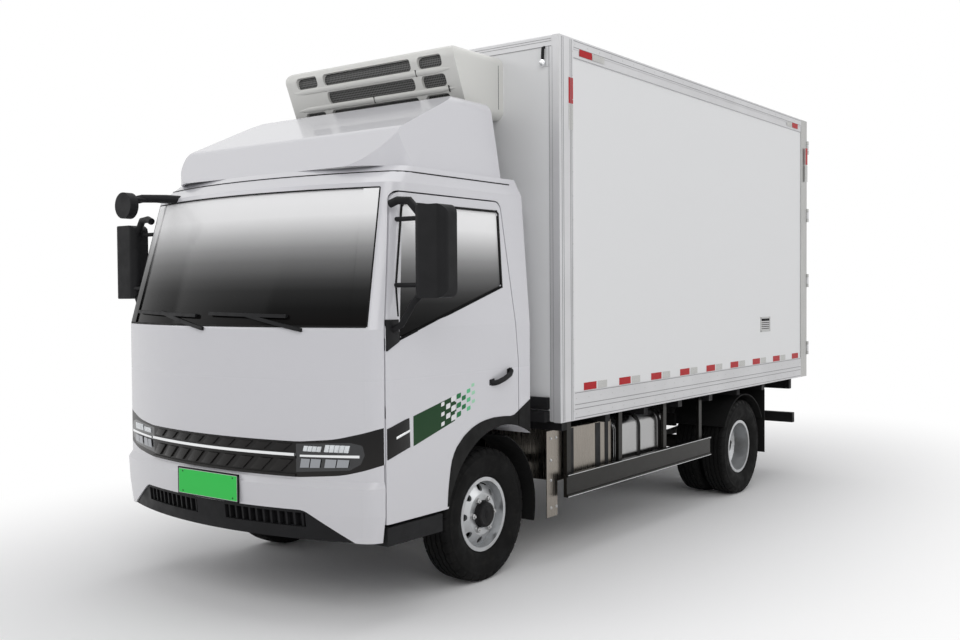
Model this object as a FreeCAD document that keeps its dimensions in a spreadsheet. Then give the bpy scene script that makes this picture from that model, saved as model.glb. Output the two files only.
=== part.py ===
"""Small refrigerated truck with a tilting cab and an insulated box body.

Millimetres. +Z up, the front faces -Y, +X is the driver's (left) side. The origin lies on the
ground under the middle of the overall length. The sheet holds the driving sizes; every piece is
bound to them.
"""
import FreeCAD, Part
import math
import os
import re
import Sketcher
from FreeCAD import Placement, Rotation, Vector

doc = FreeCAD.newDocument("RefrigeratedTruck")
sheet = doc.addObject("Spreadsheet::Sheet", "Sizes")

SIZES = {
    "front_overhang": 1290,
    "wheelbase": 3360,
    "cab_back": 270,
    "cab_gap": 193,
    "box_length": 4215,
    "box_width": 2240,
    "box_height": 2336,
    "door_hardware": 27,

    "tyre_radius": 388,
    "tyre_width": 200,
    "tyre_shoulder": 26,
    "tread_width": 160,
    "rim_radius": 203,
    "rim_width": 146,
    "rim_lip": 13,
    "rim_wall": 9,
    "front_wheel_x": 810,
    "rear_wheel_x": 837,
    "dual_spacing": 235,
    "disc_offset": 62,
    "disc_flat": 112,
    "hub_radius": 62,
    "hub_out": 34,
    "hand_hole_circle": 153,
    "hand_hole_radius": 20,
    "stub_radius": 27,
    "drum_radius": 150,
    "brake_disc_radius": 138,
    "brake_disc_width": 22,
    "run_gap": 1,

    "axle_to_frame": 177,
    "rail_height": 170,
    "rail_wall": 8,
    "rail_flange": 65,
    "frame_width": 760,
    "rail_front": 1118,
    "rail_rear_setback": 62,
    "cross_width": 74,
    "cross_height": 100,
    "pivot_ahead": 1060,
    "pivot_drop": 135,
    "pivot_radius": 17,
    "pivot_reach": 78,
    "lug_width": 46,
    "spring_width": 60,
    "leaf": 12,
    "spring_half": 560,
    "spring_radius": 3600,
    "spring_pad": 8,
    "eye_radius": 24,
    "cheek": 8,
    "seat_gap": 0.3,
    "kingpin_x": 690,
    "kingpin_radius": 17,
    "kingpin_boss": 36,
    "boss_height": 100,
    "beam_height": 66,
    "beam_width": 70,
    "beam_web": 22,
    "beam_flange": 16,
    "fork_thick": 30,
    "arm_reach": 165,
    "arm_drop": 96,
    "arm_width": 34,
    "arm_thick": 18,
    "tie_radius": 13,
    "tie_eye": 26,
    "axle_tube": 54,
    "drive_radius": 145,
    "drive_width": 330,
    "motor_radius": 118,
    "motor_length": 330,

    "subframe_height": 153,
    "bearer_width": 60,
    "bearer_height": 60,
    "floor_thick": 75,
    "wall_thick": 80,
    "roof_thick": 85,
    "profile_proud": 6,
    "bottom_rail": 175,
    "top_rail": 64,
    "profile_lip": 16,
    "profile_depth": 42,
    "front_step": 155,
    "post_side": 150,
    "portal_depth": 150,
    "portal_side": 78,
    "portal_top": 90,
    "portal_sill": 110,
    "cargo_door": 84,
    "cargo_gap": 6,
    "leaf_proud": 5,
    "hinge_proud": 16,
    "hinge_pin_out": 8,
    "hinge_radius": 11,
    "hinge_height": 120,
    "hinge_strap": 210,
    "hinge_leaf": 5,
    "lock_rod": 10,
    "lock_rod_off": 11,
    "lock_rod_x": 330,

    "unit_half": 710,
    "unit_high": 390,
    "unit_top_drop": 84,
    "unit_deep": 523,
    "unit_toe": 360,
    "unit_round": 55,
    "unit_wall": 34,
    "evap_half": 640,
    "evap_deep": 260,
    "evap_high": 230,

    "cab_half": 1030,
    "cab_top_half": 975,
    "cab_roof_half": 940,
    "cab_nose": 1262,
    "screen_top_nose": 1030,
    "roof_nose": 905,
    "nose_radius": 2570,
    "screen_top_radius": 2900,
    "cab_corner": 120,
    "cab_wall": 60,
    "cab_base": 335,
    "belt_rise": 765,
    "header_rise": 1515,
    "roof_rise": 1610,
    "roof_rear_in": 25,
    "cab_floor": 25,
    "floor_slab": 40,
    "footwell_front": 95,
    "heel_back": 520,
    "seat_base_rise": 300,
    "tunnel_half": 560,
    "arch_gap": 142,
    "shell_base": 210,
    "screen_half": 925,
    "screen_top_in": 62,
    "screen_base": 778,
    "screen_top": 1488,
    "corner_round": 55,
    "glass_in": 7,
    "glass_thick": 6,

    "door_front": 1000,
    "door_rear": 148,
    "door_top_front": 868,
    "door_top_rear": 40,
    "door_base": 212,
    "door_top": 1462,
    "door_step_gap": 8,
    "door_jamb_gap": 32,
    "door_hinge_in": 8,
    "door_hinge_back": 33,
    "door_hinge_low": 350,
    "door_hinge_high": 690,
    "door_skin": 1.5,
    "door_pocket_high": 60,
    "door_pocket_back": 16,
    "door_knuckle": 6,
    "door_pin": 3,
    "door_arm_high": 44,
    "door_arm_reach": 38,
    "door_arm_thick": 12,
    "door_arm_root": 25,
    "window_front": 905,
    "window_rear": 20,
    "window_belt_front": 705,
    "window_belt_rear": 985,
    "window_top": 1412,
    "window_top_front": 812,
    "window_round": 60,

    "bumper_base": 302,
    "bumper_depth": 48,
    "bumper_back": 1012,
    "intake_top": 148,
    "intake_half": 640,
    "intake_reach": 975,
    "grid_top": 165,
    "grid_base": 238,
    "grid_half": 640,
    "grid_mid": 115,
    "grid_rib": 12,
    "band_top": 200,
    "band_depth": 44,
    "band_back": 1012,
    "lamp_depth": 34,
    "plate_half": 240,
    "plate_low": 137,
    "plate_high": 3,
    "plate_thick": 9,

    "fairing_half": 905,
    "fairing_top_half": 830,
    "fairing_wall": 14,
    "fairing_nose": 890,
    "fairing_mid": 690,
    "fairing_mid_rise": 215,
    "fairing_crest": 150,
    "fairing_high": 462,
    "fairing_tail": 160,
    "fairing_slot": 795,
    "fairing_slot_y": 62,
    "fairing_round": 90,
    "fairing_plan": 300,

    "mirror_x": 1240,
    "mirror_y": 872,
    "mirror_mid": 1150,
    "mirror_width": 200,
    "mirror_height": 460,
    "mirror_deep": 110,
    "mirror_round": 45,
    "arm_radius": 12,
    "arm_top": 1320,
    "arm_low": 985,
    "arm_y": 905,
    "arm_lean": 45,
    "kerb_x": 800,
    "kerb_y": 1205,
    "kerb_rise": 1465,
    "kerb_radius": 76,
    "kerb_deep": 55,
    "wiper_thick": 14,
    "wiper_wide": 18,

    "dash_half": 925,
    "dash_low": 330,
    "dash_top": 640,
    "dash_deep": 330,
    "column_x": 430,
    "wheel_ring": 205,
    "wheel_tube": 15,
    "seat_wide": 480,
    "bench_wide": 860,
    "seat_deep": 470,
    "seat_high": 150,
    "back_high": 620,
    "back_thick": 130,
    "seat_x": 430,
    "seat_round": 45,

    "step_low": 322,
    "step_back": 565,
    "step_in": 690,
    "step_plate": 40,

    "guard_radius": 470,
    "guard_skin": 7,
    "guard_inner": 690,
    "guard_outer": 925,
    "guard_start": 14,
    "guard_sweep": 84,
    "flap_low": 248,
    "rear_guard_radius": 430,
    "rear_guard_start": 28,
    "rear_guard_sweep": 124,
    "flap_thick": 8,
    "flap_wide": 470,

    "cabinet_front": 620,
    "cabinet_rear": 1290,
    "cabinet_out": 995,
    "cabinet_deep": 560,
    "cabinet_low": 235,
    "cabinet_high": 88,
    "shield_front": 500,
    "shield_thick": 4,
    "tank_front": 1320,
    "tank_rear": 2050,
    "tank_out": 990,
    "tank_deep": 500,
    "tank_low": 265,
    "tank_high": 85,
    "tank_round": 90,
    "strap_thick": 4,
    "strap_width": 42,
    "battery_front": 640,
    "battery_rear": 2560,
    "battery_deep": 560,
    "battery_low": 315,
    "battery_high": 70,
    "side_guard_x": 1052,
    "side_guard_low": 335,
    "side_guard_high": 195,
    "side_guard_thick": 24,
    "side_guard_front": 640,
    "side_guard_tail": 620,
    "underrun_half": 1040,
    "underrun_low": 271,
    "underrun_high": 181,
    "underrun_back": 78,
    "underrun_deep": 50,
    "tail_bar_half": 1010,
    "tail_bar_low": 38,
    "tail_bar_high": 140,
    "tail_bar_deep": 60,
    "tail_lamp_wide": 330,
    "tail_lamp_deep": 34,
    "tail_lamp_in": 60,
    "eye_bore": 15,
    "eye_plate": 20,
    "eye_size": 90,
    "overrun": 40,
}

names = set()


def fill_sheet():
    for row, (name, number) in enumerate(SIZES.items(), 1):
        sheet.set("A%d" % row, name)
        sheet.set("B%d" % row, str(number))
        sheet.setAlias("B%d" % row, name)
        names.add(name)
    doc.recompute()


fill_sheet()


def value(text):
    """The number that an expression of size names gives."""
    return float(sheet.evalExpression(text))


def bound(text):
    """The same expression as seen from outside the sheet."""
    return re.sub(r"[A-Za-z_]\w*", lambda m: "Sizes." + m.group(0) if m.group(0) in names else m.group(0), text)


def tie(thing, **sizes):
    for prop, text in sizes.items():
        thing.setExpression(prop.replace("__", "."), bound(text))


def rest_at(thing, x="0", y="0", z="0"):
    tie(thing, Placement__Base__x=x, Placement__Base__y=y, Placement__Base__z=z)


# Stations that several pieces share.
TOTAL = "(front_overhang + cab_back + cab_gap + box_length + door_hardware)"
FA = f"(front_overhang - {TOTAL} / 2)"
RA = f"({FA} + wheelbase)"
BF = f"({FA} + cab_back + cab_gap)"
BR = f"({BF} + box_length)"
FT = "(tyre_radius + axle_to_frame + rail_height)"
FB = "(tyre_radius + axle_to_frame)"
BB = f"({FT} + subframe_height)"
BT = f"({BB} + box_height)"
BW = "(box_width / 2)"
FW = "(frame_width / 2)"
ROOF = f"({FT} + roof_rise)"
CAB_REAR = f"({FA} + cab_back)"
BUMPER_NOSE = "(front_overhang - plate_thick)"


def y_at(text):
    """A place ahead of the front axle."""
    return f"({FA} - ({text}))"


def z_at(text):
    """A height above the frame's top."""
    return f"({FT} + ({text}))"


def z_under(text):
    return f"({FT} - ({text}))"


def box(name, x, y, z, dx, dy, dz):
    b = doc.addObject("Part::Box", name)
    tie(b, Length=dx, Width=dy, Height=dz)
    rest_at(b, x, y, z)
    return b


def wide_box(name, half, y, z, dy, dz):
    return box(name, f"-({half})", y, z, f"2 * ({half})", dy, dz)


TURNS = {
    "x": Rotation(Vector(0, 1, 0), 90),
    "y": Rotation(Vector(1, 0, 0), -90),
    "z": Rotation(),
}


def rod(name, axis, x, y, z, radius, length):
    c = doc.addObject("Part::Cylinder", name)
    c.Placement = Placement(Vector(), TURNS[axis])
    tie(c, Radius=radius, Height=length)
    rest_at(c, x, y, z)
    return c


PLANES = {
    "xy": (Rotation(), Vector(0, 0, 1)),
    "xz": (Rotation(Vector(1, 0, 0), Vector(0, 0, 1), Vector(0, -1, 0), "ZXY"), Vector(0, 1, 0)),
    "yz": (Rotation(Vector(0, 1, 0), Vector(0, 0, 1), Vector(1, 0, 0), "ZXY"), Vector(1, 0, 0)),
}


def blank_sketch(name, plane, x="0", y="0", z="0"):
    sk = doc.addObject("Sketcher::SketchObject", name)
    sk.Placement = Placement(Vector(), PLANES[plane][0])
    rest_at(sk, x, y, z)
    return sk


class Rules:
    """The constraints of one sketch, put in together, each driving size bound to the sheet."""

    def __init__(self, sk):
        self.sk = sk
        self.rules = []
        self.texts = {}

    def add(self, *what):
        self.rules.append(Sketcher.Constraint(*what))

    def pin(self, geo, end, u, v):
        for kind, text in (("DistanceX", u), ("DistanceY", v)):
            self.texts[len(self.rules)] = text
            self.add(kind, -1, 1, geo, end, value(text))

    def radius(self, geo, text):
        self.texts[len(self.rules)] = text
        self.add("Radius", geo, value(text))

    def close(self):
        self.sk.addConstraint(self.rules)
        for index, text in self.texts.items():
            self.sk.setExpression("Constraints[%d]" % index, bound(text))


def outline(name, plane, points, x="0", y="0", z="0"):
    """A closed outline of straight runs; a point with a third entry is rounded by that radius."""
    sk = blank_sketch(name, plane, x, y, z)
    count = len(points)
    at = [Vector(value(p[0]), value(p[1]), 0) for p in points]
    cuts = []
    for i in range(count):
        back = (at[i - 1] - at[i]).normalize()
        ahead = (at[(i + 1) % count] - at[i]).normalize()
        x_text, y_text, *corner = points[i]
        if not corner:
            cuts.append((at[i], at[i], None))
            continue
        half = back.getAngle(ahead) / 2
        radius = value(corner[0])
        run = radius / math.tan(half)
        start = at[i] + back * run
        stop = at[i] + ahead * run
        middle = at[i] + (back + ahead).normalize() * (radius / math.sin(half) - radius)
        cuts.append((start, stop, middle))
    for i in range(count):
        sk.addGeometry(Part.LineSegment(cuts[i][1], cuts[(i + 1) % count][0]), False)
    rules = Rules(sk)
    for i in range(count):
        before = i - 1 if i else count - 1
        if cuts[i][2] is None:
            rules.add("Coincident", before, 2, i, 1)
            rules.pin(i, 1, points[i][0], points[i][1])
            continue
        run = [cuts[i][0], cuts[i][2], cuts[i][1]]
        if (at[i] - at[i - 1]).cross(at[(i + 1) % count] - at[i]).z < 0:
            run.reverse()
        arc = sk.addGeometry(Part.Arc(*run), False)
        mark = sk.addGeometry(Part.Point(at[i]), True)
        first = near_end(sk.Geometry[arc], cuts[i][0])
        rules.add("Tangent", before, 2, arc, first)
        rules.add("Tangent", arc, 3 - first, i, 1)
        rules.add("PointOnObject", mark, 1, before)
        rules.add("PointOnObject", mark, 1, i)
        rules.pin(mark, 1, points[i][0], points[i][1])
        rules.radius(arc, points[i][2])
    rules.close()
    return sk


def near_end(curve, point):
    """Which end of a sketch curve lies at a point: 1 its start, 2 its end."""
    return 1 if curve.StartPoint.distanceToPoint(point) < curve.EndPoint.distanceToPoint(point) else 2


def extrude(name, sk, direction, length):
    e = doc.addObject("Part::Extrusion", name)
    e.Base = sk
    e.DirMode = "Custom"
    e.Dir = direction
    e.Solid = True
    tie(e, LengthFwd=length)
    return e


def prism(name, plane, points, start, length):
    """An outline drawn on a plane at a start place and drawn out square to it."""
    where = {"xy": {"z": start}, "xz": {"y": start}, "yz": {"x": start}}[plane]
    sk = outline(name + "_sketch", plane, points, **where)
    return extrude(name, sk, PLANES[plane][1], length)


def wide_prism(name, points, half):
    """A side profile drawn out to both sides of the middle."""
    return prism(name, "yz", points, f"-({half})", f"2 * ({half})")


def turned(name, points, y, z):
    """A profile of (place along X, radius) turned about an axis along X."""
    sk = outline(name + "_sketch", "xz", points, y=y, z=z)
    r = doc.addObject("Part::Revolution", name)
    r.Source = sk
    r.Axis = Vector(1, 0, 0)
    r.Angle = 360
    r.Solid = True
    tie(r, Base__y=y, Base__z=z)
    return r


def fuse(name, *shapes):
    f = doc.addObject("Part::MultiFuse", name)
    f.Shapes = list(shapes)
    return f


def group(name, *shapes):
    g = doc.addObject("Part::Compound", name)
    g.Links = list(shapes)
    return g


def cut(name, base, *tools):
    c = doc.addObject("Part::Cut", name)
    c.Base = base
    c.Tool = tools[0] if len(tools) == 1 else fuse(name + "_tools", *tools)
    return c


def common(name, *shapes):
    c = doc.addObject("Part::MultiCommon", name)
    c.Shapes = list(shapes)
    return c


def mirrored(name, source):
    m = doc.addObject("Part::Mirroring", name)
    m.Source = source
    m.Normal = Vector(1, 0, 0)
    return m


def both(name, source):
    return group(name, source, mirrored(name + "_other", source))


pieces = []


def piece(name, thing):
    thing.Label = name
    pieces.append(thing)
    return thing


# Wheels and tyres.
def tyre(name, centre, y):
    h = "(tyre_radius - rim_radius)"
    bead = "(rim_width / 2 - rim_wall)"
    side = "(tyre_width / 2)"
    right = [
        (f"{centre} + {bead}", "rim_radius"),
        (f"{centre} + {bead}", "rim_radius + rim_lip"),
        (f"{centre} + {side}", f"rim_radius + 0.40 * {h}", "tyre_shoulder"),
        (f"{centre} + {side}", f"rim_radius + 0.72 * {h}", "tyre_shoulder"),
        (f"{centre} + tread_width / 2", "tyre_radius", "tyre_shoulder / 2"),
    ]
    left = [(p[0].replace(f"{centre} + ", f"{centre} - "),) + p[1:] for p in reversed(right)]
    return turned(name, right + left, y, "tyre_radius")


def rim_ring(name, centre, y):
    out = f"{centre} + rim_width / 2"
    back = f"{centre} - rim_width / 2"
    return turned(
        name,
        [
            (back, "rim_radius + rim_lip"),
            (back, "rim_radius - rim_wall"),
            (out, "rim_radius - rim_wall"),
            (out, "rim_radius + rim_lip"),
            (f"{out} - rim_wall", "rim_radius + rim_lip"),
            (f"{out} - rim_wall", "rim_radius"),
            (f"{back} + rim_wall", "rim_radius"),
            (f"{back} + rim_wall", "rim_radius + rim_lip"),
        ],
        y,
        "tyre_radius",
    )


def rim_disc(name, centre, sign, y):
    """The pressed disc: a cone from the rim's barrel out to the bolting face, with hand holes."""
    face = f"({centre} {sign} disc_offset)"
    root = f"({centre} {sign} disc_offset * 0.25)"
    blank = turned(
        name + "_blank",
        [
            (root, "rim_radius - rim_wall"),
            (f"{root} {sign} (0 - rim_wall * 2)", "rim_radius - rim_wall"),
            (f"{face} {sign} (0 - rim_wall)", "disc_flat"),
            (f"{face} {sign} (0 - rim_wall)", "hub_radius"),
            (face, "hub_radius"),
            (face, "disc_flat + rim_wall"),
        ],
        y,
        "tyre_radius",
    )
    holes = []
    for k in range(8):
        a = k * math.pi / 4
        holes.append(
            rod(
                f"{name}_hole{k}",
                "x",
                f"{centre} - rim_width",
                f"{y} + hand_hole_circle * {math.cos(a):.6f}",
                f"tyre_radius + hand_hole_circle * {math.sin(a):.6f}",
                "hand_hole_radius",
                "rim_width * 2",
            )
        )
    return cut(name, blank, *holes)


def front_wheel():
    cx = "front_wheel_x"
    face = f"({cx} + disc_offset)"
    hub = turned(
        "front_hub",
        [
            (f"{face} + hub_out", "0"),
            (f"{face} + hub_out", "hub_radius * 0.72", "hub_radius / 8"),
            (face, "hub_radius"),
            (f"{face} - rim_wall * 3", "hub_radius"),
            (f"{face} - rim_wall * 3", "stub_radius * 1.9"),
            (f"{cx} - brake_disc_width", "stub_radius * 1.9"),
            (f"{cx} - brake_disc_width", "brake_disc_radius"),
            (f"{cx} - brake_disc_width * 2", "brake_disc_radius"),
            (f"{cx} - brake_disc_width * 2", "stub_radius + run_gap"),
            (f"{face} - rim_wall", "stub_radius + run_gap"),
            (f"{face} - rim_wall", "0"),
        ],
        FA,
        "tyre_radius",
    )
    left = fuse("front_rim", rim_ring("front_ring", cx, FA), rim_disc("front_disc", cx, "+", FA), hub)
    piece("front_left_rim", left)
    piece("front_right_rim", mirrored("front_rim_other", left))
    rubber = piece("front_left_tyre", tyre("front_tyre", cx, FA))
    piece("front_right_tyre", mirrored("front_tyre_other", rubber))


def rear_wheels():
    mid = "rear_wheel_x"
    outer = f"({mid} + dual_spacing / 2)"
    inner = f"({mid} - dual_spacing / 2)"
    rings = [rim_ring("rear_outer_ring", outer, RA), rim_ring("rear_inner_ring", inner, RA)]
    cones = []
    for tag, centre, sign, sweep in (("outer", outer, "+", "-"), ("inner", inner, "-", "+")):
        cones.append(dished(f"rear_{tag}_disc", centre, mid, sign, sweep))
    hub = turned(
        "rear_hub",
        [
            (f"{outer} - rim_width / 6", "0"),
            (f"{outer} - rim_width / 6", "hub_radius * 0.8", "hub_radius / 8"),
            (f"{mid} + rim_wall", "hub_radius"),
            (f"{mid} - rim_wall", "hub_radius"),
            (f"{mid} - rim_wall * 3", "drum_radius"),
            (f"{inner} - rim_width / 2", "drum_radius"),
            (f"{inner} - rim_width / 2", "axle_tube + run_gap"),
            (f"{mid} - rim_wall * 5", "axle_tube + run_gap"),
            (f"{mid} - rim_wall * 5", "0"),
        ],
        RA,
        "tyre_radius",
    )
    left = fuse("rear_rims", *rings, *cones, hub)
    piece("rear_left_rims", left)
    piece("rear_right_rims", mirrored("rear_rims_other", left))
    rubber = group("rear_tyres", tyre("rear_outer_tyre", outer, RA), tyre("rear_inner_tyre", inner, RA))
    piece("rear_left_tyres", rubber)
    piece("rear_right_tyres", mirrored("rear_tyres_other", rubber))


def dished(name, centre, mid, sign, sweep):
    """A deep disc that reaches from a twin rim's barrel to the bolting face between the twins."""
    near = f"({centre} {sweep} rim_width / 2)"
    blank = turned(
        name + "_blank",
        [
            (f"{near} {sign} rim_wall * 2.5", "rim_radius - rim_wall"),
            (f"{near} {sign} rim_wall * 0.5", "rim_radius - rim_wall"),
            (mid, "disc_flat + rim_wall"),
            (mid, "hub_radius"),
            (f"{mid} {sign} rim_wall", "hub_radius"),
            (f"{mid} {sign} rim_wall", "disc_flat"),
        ],
        RA,
        "tyre_radius",
    )
    holes = []
    for k in range(8):
        a = k * math.pi / 4
        holes.append(
            rod(
                f"{name}_hole{k}",
                "x",
                f"{mid} - dual_spacing / 2",
                f"{RA} + hand_hole_circle * {math.cos(a):.6f}",
                f"tyre_radius + hand_hole_circle * {math.sin(a):.6f}",
                "hand_hole_radius",
                "dual_spacing",
            )
        )
    return cut(name, blank, *holes)


# Frame, axles and steering.
SPRING_X = f"({FW} - rail_flange / 2)"
LEAF_TOP = "(tyre_radius + beam_height / 2 + spring_pad + 3 * leaf)"


def rail_profile(name):
    o = FW
    i = f"({FW} - rail_flange)"
    pts = [
        (o, FB),
        (o, FT),
        (i, FT),
        (i, f"{FT} - rail_wall"),
        (f"{o} - rail_wall", f"{FT} - rail_wall"),
        (f"{o} - rail_wall", f"{FB} + rail_wall"),
        (i, f"{FB} + rail_wall"),
        (i, FB),
    ]
    front = y_at("rail_front")
    return prism(name, "xz", pts, front, f"{BR} - rail_rear_setback - {front}")


CROSS_SHARES = (0.02, 0.235, 0.40, 0.55, 0.70, 0.845, 1.0)


def hanger(tag, y):
    """Two cheeks under the rail that hold a spring eye between them."""
    made = []
    eye = SPRING_EYE_Z
    for side, text in (("in", f"{SPRING_X} - spring_width / 2 - seat_gap - cheek"),
                       ("out", f"{SPRING_X} + spring_width / 2 + seat_gap")):
        made.append(
            box(f"hanger_{tag}_{side}", text, f"{y} - eye_radius * 1.4", f"{eye} - eye_radius * 1.3",
                "cheek", "eye_radius * 2.8", f"{FB} - {eye} + eye_radius * 1.3 + rail_wall")
        )
    return made


SPRING_SAG = "(spring_radius - sqrt(spring_radius * spring_radius - spring_half * spring_half))"
SPRING_EYE_Z = f"({LEAF_TOP} + {SPRING_SAG} + eye_radius - leaf)"


def ladder_frame():
    rail = rail_profile("rail")
    front = y_at("rail_front")
    length = f"({BR} - rail_rear_setback - {front})"
    parts = [rail, mirrored("rail_other", rail)]
    inside = f"{FW} - rail_wall"
    for k, share in enumerate(CROSS_SHARES):
        parts.append(
            wide_box(f"cross{k}", inside, f"{front} + {share} * ({length} - cross_width)",
                     f"{FB} + rail_wall", "cross_width", "cross_height")
        )
    hangers = []
    for tag, y in (("fa", f"{FA} - spring_half"), ("fb", f"{FA} + spring_half"),
                   ("ra", f"{RA} - spring_half"), ("rb", f"{RA} + spring_half")):
        hangers += hanger(tag, y)
    left = fuse("hangers", *hangers)
    shaft = rod("pivot_shaft", "x", f"-{FW} - pivot_reach", y_at("pivot_ahead"), z_under("pivot_drop"),
                "pivot_radius", "frame_width + 2 * pivot_reach")
    piece("ladder_frame", fuse("frame", *parts, left, mirrored("hangers_other", left), shaft))


def tow_eye():
    """A bored plate on a foot that seats on the rear face of the last crossmember."""
    seat = f"({BR} - rail_rear_setback)"
    foot = wide_box("tow_foot", "eye_size * 0.7", seat, f"{FB} + rail_wall", "eye_plate / 2", "eye_size")
    plate = prism("tow_plate", "yz", [
        (seat, f"{FB} + rail_wall"),
        (f"{seat} + eye_size * 0.9", f"{FB} + rail_wall", "eye_size * 0.3"),
        (f"{seat} + eye_size * 0.9", f"{FB} + eye_size * 0.9", "eye_size * 0.3"),
        (seat, f"{FB} + rail_wall + eye_size"),
    ], "-(eye_plate / 2)", "eye_plate")
    hole = rod("tow_bore", "x", "-eye_plate", f"{seat} + eye_size / 2", f"{FB} + eye_size / 2", "eye_bore",
               "eye_plate * 2")
    piece("tow_eye", cut("tow_eye", fuse("tow_whole", foot, plate), hole))


def leaf_blade(name, y, index, half):
    """One leaf: a bow between two arcs about the same centre above the axle."""
    centre = f"({LEAF_TOP} + spring_radius)"
    low = f"(spring_radius + {index + 1} * leaf)"
    high = f"(spring_radius + {index} * leaf)"
    sk = blank_sketch(name + "_sketch", "yz", x=f"{SPRING_X} - spring_width / 2", y=y, z=centre)

    def drop(radius):
        return f"0 - sqrt({radius} * {radius} - ({half}) * ({half}))"

    ends = []
    for radius in (low, high):
        r = value(radius)
        w = value(half)
        v = -math.sqrt(r * r - w * w)
        ends.append((Vector(-w, v, 0), Vector(0, -r, 0), Vector(w, v, 0)))
    arcs = [sk.addGeometry(Part.Arc(*e), False) for e in ends]
    lines = [
        sk.addGeometry(Part.LineSegment(ends[0][0], ends[1][0]), False),
        sk.addGeometry(Part.LineSegment(ends[0][2], ends[1][2]), False),
    ]
    rules = Rules(sk)
    for n, radius in enumerate((low, high)):
        left_end = near_end(sk.Geometry[arcs[n]], ends[n][0])
        for end, u, line in ((left_end, f"0 - ({half})", lines[0]), (3 - left_end, half, lines[1])):
            rules.pin(arcs[n], end, u, drop(radius))
            rules.add("Coincident", line, n + 1, arcs[n], end)
        rules.radius(arcs[n], radius)
    rules.close()
    return extrude(name, sk, Vector(1, 0, 0), "spring_width")


def spring_pack(tag, y):
    parts = []
    for index, share in enumerate((1, 0.76, 0.5)):
        parts.append(leaf_blade(f"leaf_{tag}{index}", y, index, f"spring_half * {share}"))
    for side, way in (("a", "-"), ("b", "+")):
        parts.append(
            rod(f"eye_{tag}{side}", "x", f"{SPRING_X} - spring_width / 2", f"{y} {way} spring_half",
                SPRING_EYE_Z, "eye_radius", "spring_width")
        )
    return parts


def front_axle():
    half_beam = "tyre_radius - beam_height / 2"
    top = f"({half_beam} + beam_height)"
    section = [
        ("-beam_width / 2", half_beam),
        ("beam_width / 2", half_beam),
        ("beam_width / 2", f"{half_beam} + beam_flange"),
        ("beam_web / 2", f"{half_beam} + beam_flange"),
        ("beam_web / 2", f"{top} - beam_flange"),
        ("beam_width / 2", f"{top} - beam_flange"),
        ("beam_width / 2", top),
        ("-beam_width / 2", top),
        ("-beam_width / 2", f"{top} - beam_flange"),
        ("-beam_web / 2", f"{top} - beam_flange"),
        ("-beam_web / 2", f"{half_beam} + beam_flange"),
        ("-beam_width / 2", f"{half_beam} + beam_flange"),
    ]
    pts = [(f"{FA} + ({u})", v) for u, v in section]
    beam = wide_prism("beam", pts, "kingpin_x")
    boss = rod("boss", "z", "kingpin_x", FA, "tyre_radius - boss_height / 2", "kingpin_boss", "boss_height")
    pad = box("front_pad", f"{SPRING_X} - spring_width / 2", f"{FA} - beam_width", top, "spring_width",
              "beam_width * 2", f"{LEAF_TOP} - {top} - 2 * leaf")
    side = fuse("front_axle_side", boss, pad, *spring_pack("f", FA))
    whole = fuse("front_axle_whole", beam, side, mirrored("front_axle_side_other", side))
    bore = rod("kingpin_bore", "z", "kingpin_x", FA, "tyre_radius - boss_height", "kingpin_radius + run_gap / 2",
               "boss_height * 2")
    piece("front_axle", cut("front_axle", whole, bore, mirrored("kingpin_bore_other", bore)))


FORK_LOW = "(tyre_radius - boss_height / 2 - run_gap - fork_thick)"
FORK_TOP = "(tyre_radius + boss_height / 2 + run_gap)"


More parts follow.
